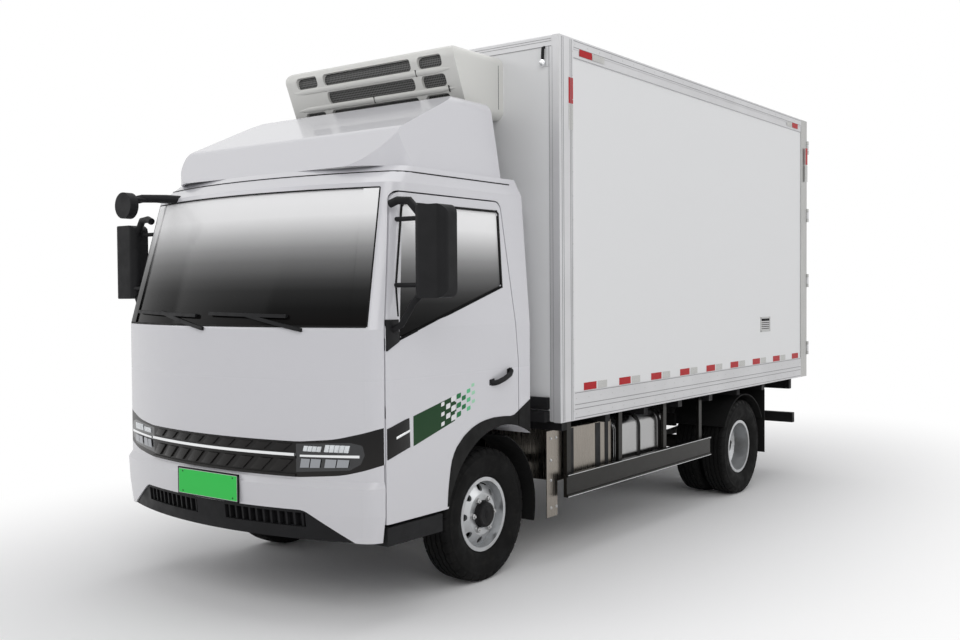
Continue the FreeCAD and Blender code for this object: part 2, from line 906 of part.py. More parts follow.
def steering():
    pin = rod("kingpin", "z", "kingpin_x", FA, FORK_LOW, "kingpin_radius",
              "boss_height + 2 * run_gap + 2 * fork_thick")
    low = rod("fork_low", "z", "kingpin_x", FA, FORK_LOW, "kingpin_boss", "fork_thick")
    top = rod("fork_top", "z", "kingpin_x", FA, FORK_TOP, "kingpin_boss", "fork_thick")
    yoke_x = "(kingpin_x + kingpin_boss + run_gap * 2)"
    yoke = box("yoke", yoke_x, f"{FA} - kingpin_boss", FORK_LOW,
               f"front_wheel_x - brake_disc_width * 2 - run_gap * 2 - {yoke_x}", "kingpin_boss * 2",
               "boss_height + 2 * run_gap + 2 * fork_thick")
    joins = []
    for tag, z in (("low", FORK_LOW), ("top", FORK_TOP)):
        joins.append(box(f"join_{tag}", "kingpin_x", f"{FA} - kingpin_boss * 0.7", z,
                         f"{yoke_x} - kingpin_x", "kingpin_boss * 1.4", "fork_thick"))
    stub = rod("stub", "x", yoke_x, FA, "tyre_radius", "stub_radius",
               f"front_wheel_x + disc_offset - rim_wall * 2 - {yoke_x}")
    arm = box("steer_arm", "kingpin_x - arm_width / 2", FA, "tyre_radius - arm_drop - arm_thick",
              "arm_width", "arm_reach", "arm_thick")
    drop = box("arm_root", "kingpin_x - arm_width / 2", f"{FA} - arm_width / 2",
               "tyre_radius - arm_drop - arm_thick", "arm_width", "arm_width",
               f"{FORK_LOW} - tyre_radius + arm_drop + arm_thick")
    ball = rod("arm_pin", "z", "kingpin_x", f"{FA} + arm_reach", "tyre_radius - arm_drop - arm_thick * 3.4",
               "tie_radius * 0.7", "arm_thick * 3.4")
    eye = rod("arm_eye", "z", "kingpin_x", f"{FA} + arm_reach", "tyre_radius - arm_drop - arm_thick",
              "tie_eye * 0.8", "arm_thick")
    left = fuse("knuckle", pin, low, top, yoke, *joins, stub, arm, drop, ball, eye)
    piece("knuckle_left", left)
    piece("knuckle_right", mirrored("knuckle_other", left))
    rod_z = "(tyre_radius - arm_drop - arm_thick - run_gap - tie_radius * 1.1)"
    bar = rod("tie_bar", "x", "0 - kingpin_x", f"{FA} + arm_reach", rod_z, "tie_radius", "2 * kingpin_x")
    end = rod("tie_end", "z", "kingpin_x", f"{FA} + arm_reach", f"{rod_z} - tie_radius * 1.3", "tie_eye",
              "tie_radius * 2.3")
    solid = fuse("tie_solid", bar, end, mirrored("tie_end_other", end))
    hole = rod("tie_hole", "z", "kingpin_x", f"{FA} + arm_reach", f"{rod_z} - tie_radius * 2",
               "tie_radius * 0.7 + run_gap / 2", "tie_radius * 4")
    piece("tie_rod", cut("tie", solid, hole, mirrored("tie_hole_other", hole)))


def rear_axle():
    reach = "(rear_wheel_x - rim_wall * 5 - run_gap * 3)"
    tube = rod("rear_tube", "x", f"-{reach}", RA, "tyre_radius", "axle_tube", f"2 * {reach}")
    gear = turned(
        "gear_case",
        [
            ("-drive_width / 2", "0"),
            ("-drive_width / 2", "axle_tube * 1.4"),
            ("-drive_width / 5", "drive_radius"),
            ("drive_width / 5", "drive_radius"),
            ("drive_width / 2", "axle_tube * 1.4"),
            ("drive_width / 2", "0"),
        ],
        RA,
        "tyre_radius",
    )
    motor = rod("drive_motor", "y", "0", f"{RA} - motor_length", "tyre_radius + axle_tube / 4", "motor_radius",
                "motor_length")
    top = "(tyre_radius + beam_height / 2)"
    pad = box("rear_pad", f"{SPRING_X} - spring_width / 2", f"{RA} - beam_width", "tyre_radius", "spring_width",
              "beam_width * 2", f"{LEAF_TOP} - tyre_radius - 2 * leaf")
    side = fuse("rear_axle_side", pad, *spring_pack("r", RA))
    piece("rear_axle", fuse("rear_axle", tube, gear, motor, side, mirrored("rear_axle_side_other", side)))


# Chassis equipment.
def side_hull(name, deep, low, high, front, rear, out, radius):
    """A rounded box beside the frame, drawn as a rounded section along Y."""
    i = f"({out} - {deep})"
    lo = z_under(low)
    hi = z_at(high)
    pts = [(i, lo, radius), (out, lo, radius), (out, hi, radius), (i, hi, radius)]
    return prism(name, "xz", pts, front, f"({rear}) - ({front})")


def equipment():
    cab = side_hull("cabinet", "cabinet_deep", "cabinet_low", "cabinet_high", f"{FA} + cabinet_front",
                    f"{FA} + cabinet_rear", "cabinet_out", "strap_thick * 2")
    shield = box("shield", "cabinet_out - shield_thick", f"{FA} + shield_front", z_under("cabinet_low * 1.9"),
                 "shield_thick", "cabinet_front - shield_front", "cabinet_low * 1.9 + cabinet_high")
    arm = box("cabinet_arm", FW, f"{FA} + (cabinet_front + cabinet_rear) / 2 - cross_width", f"{FB} + rail_wall",
              f"cabinet_out - cabinet_deep - {FW}", "cross_width * 2", "cross_height")
    piece("equipment_box", fuse("equipment", cab, shield, arm))
    tank = side_hull("tank", "tank_deep", "tank_low", "tank_high", f"{FA} + tank_front", f"{FA} + tank_rear",
                     "tank_out", "tank_round")
    band = side_hull("tank_band", "tank_deep + 2 * strap_thick", "tank_low + strap_thick",
                     "tank_high + strap_thick", f"{FA} + tank_front", f"{FA} + tank_rear",
                     "tank_out + strap_thick", "tank_round + strap_thick")
    slices = []
    for k, share in enumerate((0.08, 0.5, 0.92)):
        slices.append(
            box(f"strap_slice{k}", FW,
                f"{FA} + tank_front + {share} * (tank_rear - tank_front) - strap_width / 2",
                z_under("tank_low * 1.2"), f"tank_out - {FW} + overrun", "strap_width",
                "tank_low * 1.2 + tank_high * 1.5")
        )
    straps = common("straps", band, group("strap_slices", *slices))
    arms = []
    for k, share in enumerate((0.08, 0.92)):
        arms.append(
            box(f"tank_arm{k}", FW,
                f"{FA} + tank_front + {share} * (tank_rear - tank_front) - strap_width / 2", f"{FB} + rail_wall",
                f"tank_out - tank_deep + tank_round / 8 - {FW}", "strap_width", "cross_height")
        )
    piece("fuel_tank", fuse("tank_whole", tank, straps, *arms))
    pack = prism(
        "battery", "xz",
        [(f"-tank_out", z_under("battery_low"), "strap_width / 2"),
         (f"battery_deep - tank_out", z_under("battery_low"), "strap_width / 2"),
         (f"battery_deep - tank_out", z_at("battery_high"), "strap_width / 2"),
         (f"-tank_out", z_at("battery_high"), "strap_width / 2")],
        f"{FA} + battery_front", "battery_rear - battery_front")
    hold = []
    for k, share in enumerate((0.1, 0.5, 0.9)):
        hold.append(
            box(f"battery_arm{k}", "battery_deep - tank_out",
                f"{FA} + battery_front + {share} * (battery_rear - battery_front - cross_width)",
                f"{FB} + rail_wall", f"tank_out - battery_deep - {FW}", "cross_width", "cross_height")
        )
    piece("battery_pack", fuse("battery_whole", pack, *hold))


def side_guards():
    front = f"({FA} + side_guard_front)"
    rear = f"({RA} - side_guard_tail)"
    bar = box("guard_bar", "side_guard_x - side_guard_thick", front, z_under("side_guard_low"),
              "side_guard_thick", f"{rear} - {front}", "side_guard_low - side_guard_high")
    lips = []
    for k, z in enumerate((z_under("side_guard_low"), z_under("side_guard_high + side_guard_thick * 0.6"))):
        lips.append(box(f"guard_lip{k}", "side_guard_x", front, z, "side_guard_thick * 0.4", f"{rear} - {front}",
                        "side_guard_thick * 0.6"))
    posts = []
    for k, share in enumerate((0.02, 0.34, 0.66, 0.95)):
        y = f"{front} + {share} * ({rear} - {front} - side_guard_thick * 2)"
        posts.append(box(f"guard_post{k}", "side_guard_x - side_guard_thick * 2", y, z_under("side_guard_low"),
                         "side_guard_thick", "side_guard_thick * 2", f"side_guard_low + subframe_height"))
    left = fuse("guard_side", bar, *lips, *posts)
    piece("side_guards", both("side_guards", left))


def arc_plate(name, y, z, radius, start, sweep, x0, x1):
    """A bent plate about an axle: a ring section cut to a wedge."""
    skin = doc.addObject("Part::Cylinder", name)
    skin.Placement = Placement(Vector(), Rotation(Vector(0, 0, 1), Vector(0, 1, 0), Vector(1, 0, 0), "ZXY"))
    tie(skin, Radius=f"{radius} + guard_skin", Height=f"{x1} - ({x0})", Angle=sweep)
    rest_at(skin, x0, y, z)
    turn = Rotation(Vector(1, 0, 0), value(start))
    base = Rotation(Vector(0, 1, 0), Vector(0, 0, 1), Vector(1, 0, 0), "ZXY")
    skin.Placement = Placement(skin.Placement.Base, turn.multiply(base))
    hole = rod(name + "_hole", "x", f"({x0}) - overrun", y, z, radius, f"{x1} - ({x0}) + 2 * overrun")
    return cut(name + "_bent", skin, hole)


def mudguards():
    front = arc_plate("front_guard", FA, "tyre_radius", "guard_radius", "-guard_start", "guard_sweep",
                       "guard_inner", "guard_outer")
    stay = box("front_guard_stay", FW, f"{FA} + guard_radius * 0.915", f"{FB} + rail_wall",
               f"guard_inner + overrun - {FW}", "cross_width / 2", "cross_height / 2")
    rear = arc_plate("rear_guard", RA, "tyre_radius", "rear_guard_radius", "rear_guard_start", "rear_guard_sweep",
                     "rear_wheel_x - dual_spacing", "rear_wheel_x + dual_spacing")
    flap = box("rear_flap", "rear_wheel_x - dual_spacing", f"{RA} + rear_guard_radius + guard_skin",
               "flap_low + overrun", "flap_wide", "flap_thick", f"{BB} - bearer_height - flap_low - overrun")
    rear_stays = []
    for k, share in enumerate((-0.9, 0.9)):
        rear_stays.append(
            box(f"rear_guard_stay{k}", FW, f"{RA} + rear_guard_radius * {share} - cross_width / 4",
                f"{FB} + rail_wall", f"rear_wheel_x - dual_spacing + overrun - {FW}", "cross_width / 2",
                "cross_height")
        )
    flap_arm = box("rear_flap_arm", FW, f"{RA} + rear_guard_radius + guard_skin", f"{FB} + rail_wall",
                   f"rear_wheel_x - dual_spacing + overrun - {FW}", "flap_thick * 3", "cross_height")
    left = group("guards_side", fuse("front_guard_whole", front, stay),
                 fuse("rear_guard_whole", rear, *rear_stays), fuse("rear_flap_whole", flap, flap_arm))
    piece("mudguards", both("mudguards", left))


def rear_end():
    bar = wide_box("underrun_bar", "underrun_half", f"{BR} - underrun_back - underrun_deep",
                   z_under("underrun_low"), "underrun_deep", "underrun_low - underrun_high")
    leg = box("underrun_leg", f"{FW} - rail_flange", f"{BR} - underrun_back - underrun_deep - cross_width",
              z_under("underrun_low"), "rail_flange", "cross_width",
              f"underrun_low - rail_height")
    piece("rear_underrun", fuse("underrun", bar, leg, mirrored("underrun_leg_other", leg)))
    tail = box("tail_bar_left", FW, f"{BR} - tail_bar_deep - underrun_back", z_at("tail_bar_low"),
               f"tail_bar_half - {FW}", "tail_bar_deep", "tail_bar_high - tail_bar_low")
    lamp = box("tail_lamp", "tail_bar_half - tail_lamp_in - tail_lamp_wide", f"{BR} - underrun_back",
               z_at("tail_bar_low + rail_wall"), "tail_lamp_wide", "tail_lamp_deep",
               "tail_bar_high - tail_bar_low - 2 * rail_wall")
    middle = wide_box("tail_middle", FW, f"{BR} - tail_bar_deep - underrun_back", z_at("tail_bar_low"),
                      "tail_bar_deep", "tail_bar_high - tail_bar_low")
    leg = box("tail_leg", f"{FW} - rail_flange", f"{BR} - tail_bar_deep - underrun_back", FT, "rail_flange",
              "tail_bar_deep", "tail_bar_low")
    piece("tail_lamps", fuse("tail_lamps", middle, tail, mirrored("tail_bar_other", tail), lamp,
                             mirrored("tail_lamp_other", lamp), leg, mirrored("tail_leg_other", leg)))


BEARER_SHARES = (0.0, 0.14, 0.28, 0.42, 0.56, 0.70, 0.84)


# Insulated box body.
def subframe():
    front = f"({BF} + wall_thick)"
    span = f"({BR} - portal_depth - underrun_back - tail_bar_deep - {front})"
    skid = box("skid", f"{FW} - rail_flange", front, FT, "rail_flange", span, "subframe_height")
    bearers = []
    for k, share in enumerate(BEARER_SHARES):
        bearers.append(
            wide_box(f"bearer{k}", f"{BW} - profile_depth", f"{front} + {share} * ({span} - bearer_width)",
                     f"{BB} - bearer_height", "bearer_width", "bearer_height")
        )
    piece("box_subframe", fuse("subframe", skid, mirrored("skid_other", skid), *bearers))


def box_panels():
    inner = f"({BW} - wall_thick)"
    side_z = BB
    inside_front = f"({BF} + wall_thick)"
    inside_rear = f"({BR} - portal_depth)"
    run = f"({inside_rear} - {inside_front})"
    floor_top = f"({BB} + floor_thick)"
    piece("box_floor", wide_box("box_floor", inner, inside_front, BB, run, "floor_thick"))
    roof_low = f"({BT} - roof_thick)"
    piece("box_roof", wide_box("box_roof", inner, inside_front, roof_low, run, "roof_thick"))
    side = box("side_wall", inner, inside_front, BB, "wall_thick", run, "box_height")
    trims = side_trim_space("side_wall_trim") + front_posts("side_post_space")
    left = piece("box_left_wall", cut("box_left_wall", side, *trims))
    piece("box_right_wall", mirrored("box_right_wall", left))
    front = wide_box("front_wall", BW, BF, f"{BB} + front_step", "wall_thick", "box_height - front_step")
    beam = wide_box("front_beam", BW, BF, f"{BB} + rail_wall", "wall_thick", "front_step - rail_wall")
    posts = front_posts("front_post_space")
    piece("box_front_wall", cut("box_front_wall", fuse("front_panel", front, beam), *posts))
    frame_parts = side_trim("side_trim") + front_posts("front_post")
    piece("box_frame", group("box_frame", *frame_parts))


def side_trim_space(tag):
    return [side_profile(f"{tag}_low", "bottom_rail", BB, True), side_profile(f"{tag}_top", "top_rail",
            f"({BT} - top_rail)", True)]


def side_profile(name, high, z, space):
    """The aluminium rail let into a side wall's lower or upper edge."""
    start = f"({BF} + post_side)"
    run = f"({BR} - portal_depth - {start})"
    wide = "profile_lip + overrun" if space else "profile_lip + profile_proud"
    return box(name, f"{BW} - profile_lip", start, z, wide, run, high)


def side_trim(tag):
    low = side_profile(f"{tag}_low", "bottom_rail", BB, False)
    top = side_profile(f"{tag}_top", "top_rail", f"({BT} - top_rail)", False)
    return [low, top, mirrored(f"{tag}_low_other", low), mirrored(f"{tag}_top_other", top)]


def front_posts(tag):
    """The corner posts: an angle round each front corner of the box."""
    o = f"({BW} + profile_proud)"
    i = f"({BW} - profile_lip)"
    pts = [
        (f"{BW} - profile_depth", f"{BF} - profile_proud"),
        (o, f"{BF} - profile_proud"),
        (o, f"{BF} + post_side"),
        (i, f"{BF} + post_side"),
        (i, f"{BF} + profile_lip"),
        (f"{BW} - profile_depth", f"{BF} + profile_lip"),
    ]
    post = prism(tag, "xy", pts, BB, "box_height")
    return [post, mirrored(f"{tag}_other", post)]


def portal():
    outer = f"({BW} + profile_proud)"
    y = f"({BR} - portal_depth)"
    ring = cut(
        "portal_ring",
        wide_box("portal_blank", outer, y, BB, "portal_depth", "box_height"),
        wide_box("portal_hole", f"{BW} - portal_side", f"{y} - overrun", f"{BB} + portal_sill",
                 "portal_depth + 2 * overrun", "box_height - portal_sill - portal_top"),
    )
    bosses = []
    for k, z in enumerate(HINGE_Z):
        for end, base in (("low", f"{z} - hinge_height / 2"), ("top", f"{z} + hinge_height / 4")):
            turn = rod(f"boss{k}_{end}", "z", HINGE_X, HINGE_Y, base, "hinge_radius", "hinge_height / 4")
            foot = box(f"foot{k}_{end}", f"{outer} - portal_side * 0.8", BR, base,
                       f"{HINGE_X} - {outer} + portal_side * 0.8", "leaf_proud + hinge_leaf / 2", "hinge_height / 4")
            bosses += [turn, foot]
        bosses.append(rod(f"hinge_pin{k}", "z", HINGE_X, HINGE_Y, f"{z} - hinge_height / 2",
                          "hinge_radius * 0.5", "hinge_height"))
    left = fuse("portal_hinges", *bosses)
    keeps = []
    for k, x in enumerate(("lock_rod_x", f"{DOOR_IN} + lock_rod * 3")):
        for end, z in (("low", f"{BB} + portal_sill * 0.2"), ("top", f"{BT} - portal_top * 0.62")):
            keeps.append(box(f"keep{k}_{end}", f"{x} - lock_rod * 1.5", BR, z, "lock_rod * 3",
                             "lock_rod * 0.5", "portal_top * 0.4"))
    keep = group("portal_keeps", *keeps)
    piece("rear_portal", fuse("rear_portal", ring, left, mirrored("portal_hinges_other", left), keep,
                              mirrored("portal_keeps_other", keep)))


HINGE_X = f"({BW} + hinge_pin_out)"
HINGE_Y = f"({BR} + hinge_proud)"
HINGE_Z = [f"({BB} + portal_sill + {share} * (box_height - portal_sill - portal_top))"
           for share in (0.07, 0.36, 0.64, 0.93)]
DOOR_IN = "(cargo_gap / 2)"
DOOR_OUT = f"({BW} - portal_side - cargo_gap)"


def cargo_door():
    low = f"({BB} + portal_sill + cargo_gap)"
    high = "(box_height - portal_sill - portal_top - 2 * cargo_gap)"
    leaf = box("cargo_leaf", DOOR_IN, f"{BR} + leaf_proud - cargo_door", low, f"{DOOR_OUT} - {DOOR_IN}",
               "cargo_door", high)
    straps = []
    for k, z in enumerate(HINGE_Z):
        straps.append(box(f"strap{k}", f"{DOOR_OUT} - hinge_strap", f"{BR} + leaf_proud",
                          f"{z} - hinge_height / 4 + run_gap",
                          f"{HINGE_X} - {DOOR_OUT} + hinge_strap", "hinge_leaf",
                          "hinge_height / 2 - 2 * run_gap"))
        straps.append(rod(f"knuckle{k}", "z", HINGE_X, HINGE_Y, f"{z} - hinge_height / 4 + run_gap",
                          "hinge_radius", "hinge_height / 2 - 2 * run_gap"))
    body = fuse("cargo_body", leaf, *straps)
    bores = [rod(f"bore{k}", "z", HINGE_X, HINGE_Y, f"{z} - hinge_height / 2", "hinge_radius * 0.5 + run_gap / 2",
                 "hinge_height") for k, z in enumerate(HINGE_Z)]
    bored = cut("cargo_bored", body, *bores)
    rods = []
    for k, x in enumerate(("lock_rod_x", f"{DOOR_IN} + lock_rod * 3")):
        rods.append(rod(f"lock_rod{k}", "z", x, f"{BR} + leaf_proud + lock_rod_off", low, "lock_rod", high))
    for k, share in enumerate((0.1, 0.4, 0.6, 0.9)):
        for n, x in enumerate(("lock_rod_x", f"{DOOR_IN} + lock_rod * 3")):
            rods.append(box(f"guide{k}{n}", f"{x} - lock_rod * 1.8", f"{BR} + leaf_proud",
                            f"{low} + {share} * {high} - lock_rod",
                            "lock_rod * 3.6", "lock_rod_off", "lock_rod * 2"))
    for n, x in enumerate(("lock_rod_x", f"{DOOR_IN} + lock_rod * 3")):
        rods.append(box(f"handle{n}", x, f"{BR} + leaf_proud + lock_rod_off - lock_rod",
                        f"{low} + 0.22 * {high} + lock_rod * {n * 6}",
                        "lock_rod_x * 0.6", "lock_rod * 0.9", "lock_rod * 1.8"))
    left = piece("cargo_door_left", fuse("cargo_left", bored, *rods))
    piece("cargo_door_right", mirrored("cargo_right", left))


# Cooling unit on the front wall.
UNIT_TOP = f"({BT} - unit_top_drop)"


def unit_side(back, low, high, reach, toe):
    return [
        (back, low),
        (back, high),
        (f"{back} - {reach}", high, "unit_round"),
        (f"{back} - {toe}", low, "unit_round"),
    ]


def unit_form(name, inset):
    top = f"({UNIT_TOP} - {inset})"
    low = f"({UNIT_TOP} - unit_high + {inset})"
    side = wide_prism(name + "_side", unit_side(BF, low, top, f"(unit_deep - {inset})", f"(unit_toe - {inset})"),
                      f"unit_half - {inset}")
    half = f"(unit_half - {inset})"
    face = prism(name + "_face", "xz", [(f"-{half}", low, "unit_round"), (half, low, "unit_round"),
                                        (half, top, "unit_round"), (f"-{half}", top, "unit_round")],
                 f"{BF} - unit_deep - overrun", "unit_deep + overrun")
    return common(name, side, face)


UNIT_ROWS = ((0.70, 0.88), (0.42, 0.60), (0.14, 0.32))
UNIT_COLS = ((-0.86, -0.60), (-0.52, 0.52), (0.60, 0.86))


def unit_windows(tag, grow):
    made = []
    for r, (a, b) in enumerate(UNIT_ROWS):
        for c, (p, q) in enumerate(UNIT_COLS):
            if r == 1 and c == 0:
                continue
            lo = f"({UNIT_TOP} - unit_high + {a} * unit_high)"
            hi = f"({UNIT_TOP} - unit_high + {b} * unit_high)"
            rad = "unit_round * 0.45"
            pts = [(f"{p} * unit_half", lo, rad), (f"{q} * unit_half", lo, rad), (f"{q} * unit_half", hi, rad),
                   (f"{p} * unit_half", hi, rad)]
            made.append(prism(f"{tag}{r}{c}", "xz", pts, f"{BF} - unit_deep - overrun", f"unit_deep + {grow}"))
    return made


def cooling_unit():
    form = unit_form("unit_form", "0")
    inner = unit_form("unit_inner", "unit_wall")
    pockets = cut("unit_pockets", group("unit_holes", *unit_windows("unit_hole", "0")), inner)
    piece("cooling_unit", cut("cooling_unit", form, pockets))
    skin = unit_form("unit_skin", "unit_wall * 0.6")
    mesh = common("unit_mesh", group("unit_mesh_holes", *unit_windows("unit_mesh_hole", "0")),
                  cut("unit_shell", skin, unit_form("unit_back", "unit_wall")))
    piece("cooling_grille", mesh)
    low = f"({BT} - roof_thick - evap_high)"
    body = wide_prism("evap", [
        (f"{BF} + wall_thick", low, ), (f"{BF} + wall_thick", f"{low} + evap_high"),
        (f"{BF} + wall_thick + evap_deep", f"{low} + evap_high"),
        (f"{BF} + wall_thick + evap_deep", f"{low} + evap_high * 0.55", "unit_round * 0.5"),
        (f"{BF} + wall_thick + evap_deep * 0.6", low, "unit_round * 0.5"),
    ], "evap_half")
    piece("evaporator", body)


# Cab: plan sections joined by ruled walls.
def cab_section(name, z, half, nose, radius, rear, inset):
    """A plan section: bowed front, rounded corners, straight sides and a straight back."""
    h = f"({half} - ({inset}))"
    yf = f"({FA} - ({nose}) + ({inset}))"
    r_big = f"({radius} - ({inset}))"
    r_small = f"(cab_corner - ({inset}) * 0.5)"
    yb = f"({rear} - ({inset}))"
    sk = blank_sketch(name, "xy", z=z)
    hv, fv, bv, rv, cv = (value(t) for t in (h, yf, yb, r_big, r_small))
    centre = fv + rv
    off = hv - cv
    cy = centre - math.sqrt((rv - cv) ** 2 - off ** 2)
    ang = math.atan2(off, centre - cy)
    tx = rv * math.sin(ang)
    ty = centre - rv * math.cos(ang)
    big = sk.addGeometry(Part.Arc(Vector(-tx, ty, 0), Vector(0, fv, 0), Vector(tx, ty, 0)), False)
    mid = ang / 2 + math.pi / 4
    right_mid = Vector(off + cv * math.sin(mid), cy - cv * math.cos(mid), 0)
    left_mid = Vector(-right_mid.x, right_mid.y, 0)
    right = sk.addGeometry(Part.Arc(Vector(tx, ty, 0), right_mid, Vector(hv, cy, 0)), False)
    side_r = sk.addGeometry(Part.LineSegment(Vector(hv, cy, 0), Vector(hv, bv, 0)), False)
    back = sk.addGeometry(Part.LineSegment(Vector(hv, bv, 0), Vector(-hv, bv, 0)), False)
    side_l = sk.addGeometry(Part.LineSegment(Vector(-hv, bv, 0), Vector(-hv, cy, 0)), False)
    left = sk.addGeometry(Part.Arc(Vector(-hv, cy, 0), left_mid, Vector(-tx, ty, 0)), False)

    rules = Rules(sk)

    def join(kind, a, b, point):
        rules.add(kind, a, near_end(sk.Geometry[a], point), b, near_end(sk.Geometry[b], point))

    join("Tangent", big, right, Vector(tx, ty, 0))
    join("Tangent", right, side_r, Vector(hv, cy, 0))
    join("Coincident", side_r, back, Vector(hv, bv, 0))
    join("Coincident", back, side_l, Vector(-hv, bv, 0))
    join("Tangent", side_l, left, Vector(-hv, cy, 0))
    join("Tangent", left, big, Vector(-tx, ty, 0))
    rules.pin(side_r, 2, h, yb)
    rules.pin(side_l, 1, f"0 - {h}", yb)
    rules.add("Vertical", side_r)
    rules.add("Vertical", side_l)
    rules.radius(right, r_small)
    rules.radius(left, r_small)
    rules.radius(big, r_big)
    rules.pin(big, 3, "0", f"{yf} + {r_big}")
    rules.close()
    return sk


def loft(name, *sections):
    made = doc.addObject("Part::Loft", name)
    made.Sections = list(sections)
    made.Solid = True
    made.Ruled = True
    return made


def cab_form(name, inset):
    """The cab's outside, or the same form moved in by an inset: upright to the belt, then leaning."""
    top = ROOF if inset in ("0", "0 - overrun") else f"({ROOF} - {inset})"
    base = z_under("cab_base")
    belt = z_at("belt_rise")
    plan = ("cab_half", "cab_nose", "nose_radius", CAB_REAR)
    foot = extrude(f"{name}_foot", cab_section(f"{name}_s0", base, *plan, inset), Vector(0, 0, 1),
                   f"{belt} - {base}")
    head = loft(
        f"{name}_head",
        cab_section(f"{name}_s1", belt, *plan, inset),
        cab_section(f"{name}_s2", z_at("header_rise"), "cab_top_half", "screen_top_nose", "screen_top_radius",
                    CAB_REAR, inset),
        cab_section(f"{name}_s3", top, "cab_roof_half", "roof_nose", "screen_top_radius",
                    f"({CAB_REAR} - roof_rear_in)", inset),
    )
    return fuse(name, foot, head)


def door_outline(name, grow, start, length):
    f = f"({FA} - door_front - {grow})"
    r = f"({FA} + door_rear + {grow})"
    lo = z_under(f"(door_base + {grow})")
    hi = z_at(f"(door_top + {grow})")
    pts = [
        (f, lo),
        (r, lo),
        (r, z_at("belt_rise * 0.7")),
        (f"({FA} + door_top_rear + {grow})", hi, "corner_round"),
        (f"({FA} - door_top_front - {grow})", hi, "corner_round"),
        (f"({FA} - door_front - {grow})", z_at("belt_rise")),
    ]
    return prism(name, "yz", pts, start, length)


def window_outline(name, start, length):
    pts = [
        (f"({FA} - window_front)", z_at("window_belt_front"), "window_round / 2"),
        (f"({FA} + window_rear)", z_at("window_belt_rear"), "window_round"),
        (f"({FA} + window_rear)", z_at("window_top"), "window_round"),
        (f"({FA} - window_top_front)", z_at("window_top"), "window_round"),
    ]
    return prism(name, "yz", pts, start, length)


def screen_outline(name, start, length):
    lo = z_at("screen_base")
    hi = z_at("screen_top")
    pts = [
        ("0 - screen_half", lo, "corner_round"),
        ("screen_half", lo, "corner_round"),
        ("screen_half - screen_top_in", hi, "corner_round"),
        ("screen_top_in - screen_half", hi, "corner_round"),
    ]
    return prism(name, "xz", pts, start, length)


def arch(name, radius):
    return rod(name, "x", "tunnel_half", FA, "tyre_radius", radius, "cab_half")


DOOR_HINGE_X = "(cab_half - door_hinge_in)"
DOOR_HINGE_Y = f"({FA} - door_front + door_hinge_back)"
DOOR_HINGES = ("door_hinge_low", "door_hinge_high")


def door_hinge_arms():
    """Bent arms on the door post: each reaches into a pocket of the door and ends in a bored knuckle."""
    x, y = DOOR_HINGE_X, DOOR_HINGE_Y
    root = y_at("door_front + door_arm_root")
    made = []
    for k, rise in enumerate(DOOR_HINGES):
        low = z_at(f"{rise} - door_arm_high / 2")
        bend = prism(f"hinge_bend{k}", "xy", [
            (f"{x} - door_arm_reach - door_arm_thick", root),
            (f"{x} - door_arm_reach", root),
            (f"{x} - door_arm_reach", f"{y} - door_knuckle * 0.8"),
            (x, f"{y} - door_knuckle * 0.8"),
            (x, f"{y} + door_knuckle * 0.8"),
            (f"{x} - door_arm_reach - door_arm_thick", f"{y} + door_knuckle * 0.8"),
        ], low, "door_arm_high")
        knuckle = rod(f"hinge_knuckle{k}", "z", x, y, low, "door_knuckle", "door_arm_high")
        hole = rod(f"hinge_hole{k}", "z", x, y, z_at(f"{rise} - door_pocket_high / 2"),
                   "door_pin + run_gap / 2", "door_pocket_high")
        made.append(cut(f"hinge_arm{k}", fuse(f"hinge_arm_solid{k}", bend, knuckle), hole))
    return made


def door_hinge_pockets():
    """Room for the arms behind the door's outer skin, open at its front edge and towards the post."""
    skin = cab_form("cab_skin", "door_skin")
    front = y_at("door_front + overrun")
    boxes = [box(f"hinge_room{k}", "cab_half - cab_wall - door_jamb_gap", front,
                 z_at(f"{rise} - door_pocket_high / 2"), "cab_wall + door_jamb_gap",
                 f"{DOOR_HINGE_Y} + door_pocket_back - {front}", "door_pocket_high")
             for k, rise in enumerate(DOOR_HINGES)]
    return [common(f"hinge_pocket{k}", b, skin) for k, b in enumerate(boxes)]


def door_hinge_pins():
    return [rod(f"hinge_turn{k}", "z", DOOR_HINGE_X, DOOR_HINGE_Y, z_at(f"{rise} - door_pocket_high / 2 - door_pin"),
                "door_pin", "door_pocket_high + 2 * door_pin") for k, rise in enumerate(DOOR_HINGES)]


